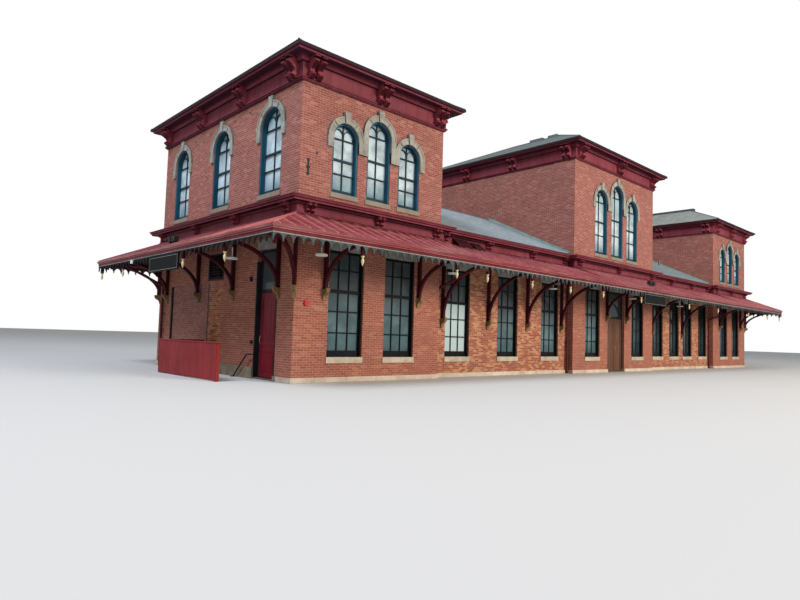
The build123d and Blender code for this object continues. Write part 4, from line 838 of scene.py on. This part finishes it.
beads, rings = [], []
for origin, out, foot, reach, pitch, ring_level in brackets:
    rise = wall_level - plate_depth - pitch * (reach - frieze_out) - 0.06 - foot
    brace = [(reach - (reach - 0.07) * cos(a), foot + (rise - 0.05) * sin(a))
             for a in np.linspace(0.06, pi / 2 - 0.1, 16)]
    for offset in (-bracket_half - 0.002, bracket_half + 0.002):
        beads.append(tube(raised(origin, out, brace, offset), 0.016, 6))
    beads.append(fin(origin, out, rectangle(0, 0.13, foot - 0.03, foot + 0.03), -0.06, 0.06))
    rings.append(tube(raised(origin, out, circle(0.33, ring_level, 0.13, 20)), 0.03, ring=True))
piece("bracket_beads", beads, bracket_paint)
piece("bracket_rings", rings, bracket_paint)

# Roofs: split slate-grey shingles in courses on all the slopes, with lead hips and ridges,
# caps on the end towers, and copper flashing gone green where the links meet the towers.
painted_shade_reach = 6.0


def shingles(name, pale, dark, course_height, breadth, middle=None):
    """Courses of shingles counted up the height, each with its own shade, lapped by a step.
    The middle tower's slopes take on the darker tone given for them, as painted shade."""
    material, add, point, place, facing = start_material(name, 0.92, 0.06)
    weather, = patterns(add, (point, 1.1, 5, 0.65))
    lean_y, lean_z, away = without_sign(add, facing["Y"], facing["Z"], place["X"])
    laid = add("TexBrick",
               {"Vector": flat_wall(add, place, facing, lean_y), "Color1": colour(pale),
                "Color2": colour(dark), "Mortar": colour("#5A6268"), "Scale": 1.0,
                "Mortar Size": 0.003, "Bias": 0.1, "Brick Width": breadth,
                "Row Height": course_height}, offset=0.5)
    tone = stain(add, laid["Color"], (weather, 0, 1, 0.6, dark))
    if middle:
        # Painted shade: the middle tower's slopes, within a reach of X, take the darker tone.
        tone = stain(add, tone, (away, painted_shade_reach, painted_shade_reach - 0.001, 0.7, middle))
    lap = add("Math", {0: place["Z"], 1: course_height}, operation="FLOORED_MODULO")
    slope = add("Math", {0: lap[0], 1: -0.7 / course_height}, operation="MULTIPLY")
    relief = add("Math", {0: slope[0], 1: laid["Fac"]}, operation="SUBTRACT")
    return settle(material, stain(add, tone, (lean_z, 0.3, 0.299, 1, "#2E262A")), relief[0], 0.012, 0.8)


slate = shingles("grey_shingles", "#A0A29B", "#82857F", 0.075, 0.22, "#46504F")
link_slate = shingles("link_grey_shingles", "#8A9498", "#747E83", 0.062, 0.25)
lead = plain("dull_lead", "#5A6166", 0.5, 0.6)
verdigris = weathered_paint("verdigris_copper", "#6F8F86", "#87A39A", "#4E6A62", 0.55, "#6B5B4B", 0.8)
cap_grey = weathered_paint("ridge_cap_grey", "#3C4446", "#4A5354", "#262C2E", 0.7, "#5E6260", 0.8)
dress(slate, "tower_roof_left_slopes", "tower_roof_right_slopes", "tower_roof_hips")
dress(link_slate, "link_roofs_front", "link_roofs_rear")
roof_edge, roof_lift = 0.53, 0.285
link_eave, link_ridge = 5.155, 7.172
ridge_lines, ridge_caps, flashings = [], [], []
for (left, right, top), inset, rise, capped in zip(towers, (3.0, 3.65, 3.0), (1.44, 1.95, 1.44),
                                                   (True, False, True)):
    middle = (left + right) / 2
    edge_x, edge_y = (right - left) / 2 + roof_edge - 0.02, half_depth + roof_edge - 0.02
    eave, peak = top + roof_lift, top + roof_lift + rise
    ridge_y = half_depth + roof_edge - inset
    ridge_lines.append(tube([(middle, -ridge_y, peak), (middle, ridge_y, peak)], 0.035))
    for sx in (-1, 1):
        for sy in (-1, 1):
            ridge_lines.append(tube([(middle + sx * edge_x, sy * edge_y, eave),
                                     (middle, sy * ridge_y, peak)], 0.03))
    if capped:
        ridge_caps.append(fin((middle, 0, 0), right_end,
                              rectangle(-0.16, 0.16, peak - 0.1, peak + 0.07), -ridge_y - 0.3,
                              ridge_y + 0.3))
for side in (-1, 1):
    ridge_lines.append(tube([(side * (link_inner + 0.01), 0, link_ridge - 0.007),
                             (side * (link_outer - 0.01), 0, link_ridge - 0.007)], 0.035))
flashing = [(0, -0.01), (0, 0.09), (0.012, 0.09), (0.012, 0.012), (0.1, 0.012), (0.1, -0.01)]
for x, away in ((-link_outer, 1), (-link_inner, -1), (link_inner, 1), (link_outer, -1)):
    for y in (-4.43, 4.43):
        flashings.append(carry([shifted(0, link_eave, *flashing), shifted(0, link_ridge, *flashing)],
                               [(x, y, 0), (x, 0, 0)], (away, 0, 0)))
piece("roof_hips_and_ridges", ridge_lines, lead)
piece("ridge_caps", ridge_caps, cap_grey)
piece("roof_flashings", flashings, verdigris)

# Doors: the front pair and the end door are framed and panelled leaves. The rails, stiles
# and handles are planted on each leaf, inside its edges, and swing with it.
brown_door = boards("varnished_door_timber", "#6B4630", "#4A2E1E", 0.3, 0.5)
red_door = weathered_paint("end_door_red_paint", "#6E1924", "#7E2530", "#4A0E16", 0.4, "#3A1216", 0.84)
frame_black = weathered_paint("door_frame_black", "#1C1C1F", "#2B2C30", "#0D0D0F", 0.45, "#5A5650", 0.84)
brass = plain("worn_brass", "#A98A4E", 0.35, 1.0)
iron = plain("black_iron", "#26262A", 0.6, 0.4)
dress(brown_door, "front_door_left", "front_door_right")
dress(red_door, "end_door")
# On the posts of the closed doorway this black is painted shade at the sides of its recess.
dress(frame_black, "door_frames", "blind_door_posts", "wall_louvre")
dress(iron, "door_hinges")
leaf_foot, leaf_head = 0.07, 2.472
leaf_margin, stile, rail_half = 0.02, 0.1, 0.06
front_face, end_face = half_depth - 0.12, half_length - 0.12


def leaf_panels(out, face, low, high, rails):
    """Stiles, rails and bolection panels planted on a door leaf, clear of its edges."""
    left, right = low + leaf_margin, high - leaf_margin
    levels = [leaf_foot + rail_half, *rails, leaf_head - rail_half]
    shapes = [(rectangle(left, left + stile, leaf_foot, leaf_head), 0.016),
              (rectangle(right - stile, right, leaf_foot, leaf_head), 0.016)]
    left, right = left + stile, right - stile
    shapes += [(rectangle(left, right, level - rail_half, level + rail_half), 0.015) for level in levels]
    for under, over in zip(levels[:-1], levels[1:]):
        if over - under > 0.2 + 2 * rail_half:
            shapes.append((rectangle(left + 0.04, right - 0.04, under + rail_half + 0.04,
                                     over - rail_half - 0.04), 0.011))
    return slabs(out, face - 0.002, *shapes)


def handle(out, face, along, level):
    """A pull handle: a bowed bar on two feet."""
    bow = [(face + 0.012 + 0.045 * sin(a), level - 0.12 * cos(a)) for a in np.linspace(0, pi, 9)]
    return [tube(raised((0, 0, 0), out, bow, along), 0.008)]


for name, body, low, high, grip in (
        ("front_left_door", "front_left_leaf", -0.702, -0.006, -0.07),
        ("front_right_door", "front_right_leaf", 0.006, 0.702, 0.07)):
    piece(name + "_panels", leaf_panels(front, front_face, low, high, (0.95, 1.2)), brown_door,
          body)
    piece(name + "_handle", handle(front, front_face, grip, 1.1), brass, body)
leaf_low, leaf_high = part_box("end_door")
end_low, end_high = -leaf_high.y, -leaf_low.y
end_middle = (end_low + end_high) / 2
piece("end_door_panels", leaf_panels(left_end, end_face, end_low, end_high, (0.85, 1.05)),
      red_door, "end_leaf")
piece("end_door_boards", slabs(left_end, end_face - 0.002, *(
    (upright(x, 0.024, 1.25, 2.3), 0.014) for x in (end_middle - 0.11, end_middle + 0.11))),
    red_door, "end_leaf")
piece("end_door_handle", handle(left_end, end_face, end_low + 0.075, 1.12), brass,
      "end_leaf")
piece("end_door_linings", slabs(left_end, half_length - 0.118, *(
    (upright(x, 0.05, 0.05, 3.4), 0.13) for x in (end_low - 0.103, end_high + 0.103))),
    frame_black)

# Closed doorway and old patch in the left end wall: the doorway is filled with dark
# purplish brick between posts painted black as painted shade at the sides of its recess, the
# patch beside it is toothed in with mixed stone and brick. Both are bedded in mortar a little
# proud of the face behind.
infill_brick = brickwork("infill_brick", ("#824C42", "#925A4C", "#A06C5C"), "#B09C90", "#6A4842",
                         "#9A7262", 0.64, (0, 0.5, 1))
patch_brick = brickwork("patch_brick", ("#4A2A22", "#B4683E", "#8A4632", "#CE9468"), "#C0AC98",
                        "#3C2822", "#C27846", 0.5, (0, 0.3, 0.6, 1))
posts_low, posts_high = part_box("blind_door_posts")
doorway = rectangle(-posts_high.y + 0.09, -posts_low.y - 0.09, 0.345, 2.895)
piece("blind_doorway_infill", slabs(left_end, half_length - 0.064, (doorway, 0.008)),
      infill_brick)
piece("end_wall_patch", slabs(left_end, half_length - 0.004,
                              (rectangle(-0.42, 0.5, 0.345, 2.7), 0.009)), patch_brick)

# Rainwater pipes: round sheet-metal pipes down the walls, painted wine red, with a collar
# at each length.
pipe_paint = weathered_paint("pipe_wine_paint", "#4E2026", "#5E2A30", "#2C1014", 0.5, "#77503C")
dress(pipe_paint, "downspouts")
pipe_places = [(x, y) for y in (-link_wall - 0.09, link_wall + 0.09)
               for x in (-12.065, -3.905, 12.065)] + [(-half_length - 0.09, half_depth - 0.5)]
collars = [tube([(x, y, level), (x, y, level + 0.07)], 0.054, 12) for x, y in pipe_places
           for level in (1.3, 2.5)]
piece("pipe_collars", collars, pipe_paint)

# Hanging boards: two long pine sign boards, left bare, painted charcoal with a pale line
# round the edge, and held by iron straps from the fascia.
# The boards' near-black is partly their charcoal paint, partly painted shade under the canopy.
board_charcoal_and_shade = weathered_paint("board_charcoal_paint", "#0A0D0E", "#101314", "#060809", 0.7,
                                 "#1E2020", 0.86)
board_line = weathered_paint("board_line_paint", "#6E6A60", "#7E7A70", "#4A4740", 0.5, "#2C3032", 0.8)
dress(board_charcoal_and_shade, "hanging_boards")
boards_low, boards_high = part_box("hanging_boards")
board_half = 1.125
line_width = 0.014
board_centres = ((front, -boards_low.y, boards_high.x - board_half),
                 (left_end, -boards_low.x, board_half - boards_high.y))
lines, straps = [], []
for out, face, centre in board_centres:
    low, high = centre - board_half + 0.04, centre + board_half - 0.04
    bottom, top = boards_low.z + 0.04, boards_high.z - 0.04
    inner_bottom, inner_top = bottom + line_width, top - line_width
    lines += slabs(out, face - 0.003, *((strip, 0.006) for strip in (
        rectangle(low, high, bottom, inner_bottom), rectangle(low, high, inner_top, top),
        rectangle(low, low + line_width, inner_bottom, inner_top),
        rectangle(high - line_width, high, inner_bottom, inner_top))))
    straps += slabs(out, face - 0.006, *(
        (upright(centre + side, 0.024, top - 0.03, fascia_bottom + 0.006), 0.0095)
        for side in (-0.8, 0.8)))
piece("hanging_board_lines", lines, board_line)
piece("hanging_board_straps", straps, iron)

# Low screen beside the end door: tongued boards nailed to posts and rails, painted red,
# under a projecting cap, with a return to the wall.
screen_red = weathered_paint("screen_red_paint", "#772123", "#882E2E", "#4E1216", 0.5, "#4B2422", 0.8)
screen_low, screen_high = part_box("board_screen")


def block(x0, x1, y0, y1, z0, z1):
    """A box between three pairs of limits."""
    return carry(rectangle(x0, x1, y0, y1), [(0, 0, z0), (0, 0, z1)], (1, 0, 0), (0, 1, 0))


screen_board, screen_post, screen_top = 0.14, 0.09, 1.02
x, near, far = screen_low.x, screen_low.y, screen_high.y
screen_parts = [block(x - 0.035, x + 0.12, near - 0.04, far, screen_top, 1.05),
                block(x, x + screen_post, near - 0.012, near, 0.03, screen_top),
                block(x + screen_post, screen_high.x, far - screen_post, far - 0.04, 0.06, 1.045)]
for y in np.arange(near, far - 0.1, screen_board):
    screen_parts.append(block(x - 0.018, x, y, y + screen_board - 0.006, 0.03, screen_top))
for y in (near, (near + far - screen_post) / 2, far - screen_post):
    screen_parts.append(block(x, x + screen_post, y, y + screen_post, 0, screen_top))
for level in (0.2, 0.85):
    screen_parts.append(block(x, x + 0.045, near + screen_post, far - screen_post, level, level + 0.09))
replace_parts(piece("screen_boards", screen_parts, screen_red), "board_screen")

# Small fittings: canopy lamps, floodlight and gooseneck lamps, an anchor plate, a bell, cable
# boxes, vent holes drawn as black iron discs of painted shade, and a strip of trim that hangs loose under
# the left link's cornice.
lamp_white = plain("lamp_white_enamel", "#D8D8D2", 0.4)
dress(lamp_white, "canopy_lamps")
dress(iron, "entry_handrail")
dress(lead, "roof_vents")
bell_red = weathered_paint("bell_red_enamel", "#B0262B", "#C23B3E", "#7E171B", 0.3, "#5A1A1A", 0.9)
loose_paint = weathered_paint("loose_trim_paint", "#2C1015", "#3C181E", "#1C0A0E", 0.5)
anchor_x = -17.53
anchor_half = [(0.02, 5.70), (0.045, 5.74), (0.018, 5.80), (0.018, 6.07), (0.045, 6.13), (0.02, 6.17)]
anchor = shifted(anchor_x, 0, *anchor_half, *((-x, z) for x, z in anchor_half[::-1]))
piece("anchor_plate", slabs(front, half_depth, (anchor, 0.025),
                            (upright(anchor_x, 0.09, 5.9, 5.96), 0.04)), iron)
piece("alarm_bell", slabs(front, half_depth, (circle(-17.415, 2.18, 0.075, 20), 0.05)), bell_red)
boxes = slabs(left_end, half_length, (upright(2.35, 0.09, 2.84, 2.98), 0.06),
              (upright(2.53, 0.08, 1.0, 1.1), 0.06))
# The vent holes are black iron discs laid on the walls: painted shade of the holes.
for out, wall, along, level in ((left_end, half_length, 1.74, 8.11),
                                (left_end, half_length, 0.78, 8.08),
                                (left_end, half_length, -0.94, 8.06),
                                (left_end, half_length, -2.13, 8.05),
                                (front, half_depth, -17.25, 6.37)):
    boxes += slabs(out, wall - 0.002, (circle(along, level, 0.035, 16), 0.006))
piece("cable_boxes_and_vent_hole_shade", boxes, iron)
piece("eave_floodlight", [block(-eave_x + 0.002, -eave_x + 0.046, 2.63, 2.77, 3.53, 3.65)],
      lamp_white)
lamps = []
for (out, face, along), aside in zip(board_centres, (0.5, -0.4)):
    neck = raised((0, 0, 0), out, shifted(face, 0, (-0.3, 3.95), (-0.3, 4.06), (-0.25, 4.13),
                                          (-0.15, 4.15), (-0.08, 4.1)), along)
    lamps.append(tube(neck, 0.012))
    lamps.append(tube([neck[-1], neck[-1] + np.array(out) * 0.03 - (0, 0, 0.07)], 0.05, 12))
    for middle in (along + aside - 0.17, along + aside + 0.17):
        lamps += slabs(out, face - 0.5, (upright(middle, 0.24, 4.1, 4.26), 0.14))
        lamps += slabs(out, face - 0.45, (upright(middle, 0.04, 3.98, 4.1), 0.04))
piece("board_lamps", lamps, iron)
loose = [fin((0, 0, 0), front, shifted(link_wall, -drop, (0.08, 4.78), (0.1, 4.8), (0.4, 4.58),
                                       (0.38, 4.5), (0.34, 4.54)), start, end)
         for start, end, drop in ((-11.34, -10.6, 0.0), (-10.4, -9.9, 0.03))]
piece("loose_trim", loose, loose_paint)

# Floor, light and world: pale studio ground, a broad soft key from the front, a fill from
# the left end, and a sky that only lights and mirrors.
bpy.ops.mesh.primitive_plane_add(size=400, location=(0, 0, 0))
floor = bpy.context.object
floor.name = "floor"
floor.data.materials.append(plain("studio_floor", "#B2B0AC", 0.9))


def area_light(name, place, target, power, tint):
    """A square soft light that looks at a point."""
    data = bpy.data.lights.new(name, "AREA")
    data.shape = "SQUARE"
    data.size = 20
    data.energy = power
    data.color = colour(tint)[:3]
    lamp = bpy.data.objects.new(name, data)
    bpy.context.scene.collection.objects.link(lamp)
    lamp.location = place
    sight = Vector(target) - Vector(place)
    lamp.rotation_euler = sight.to_track_quat("-Z", "Y").to_euler()


area_light("key", (4, -50, 24), (0, -4, 4), 30000, "#FFF4E6")
area_light("fill", (-44, -10, 44), (-17, 0, 6), 29000, "#E8F0FF")
world = bpy.data.worlds.new("studio_sky")
bpy.context.scene.world = world
world.use_nodes = True
tree = world.node_tree
background = tree.nodes["Background"]
background.inputs["Color"].default_value = (0.80, 0.86, 0.95, 1)
background.inputs["Strength"].default_value = 0.6
white = add_node(world, "Background", {"Color": (1, 1, 1, 1), "Strength": 1.0})
rays = add_node(world, "LightPath")
seen = add_node(world, "Math", {0: rays["Is Camera Ray"], 1: rays["Is Glossy Ray"]}, operation="MAXIMUM")
either = add_node(world, "Math", {0: seen[0], 1: rays["Is Transmission Ray"]}, operation="MAXIMUM")
blend = add_node(world, "MixShader", {0: either[0], 1: background.outputs[0], 2: white[0]})
tree.links.new(blend[0], tree.nodes["World Output"].inputs["Surface"])
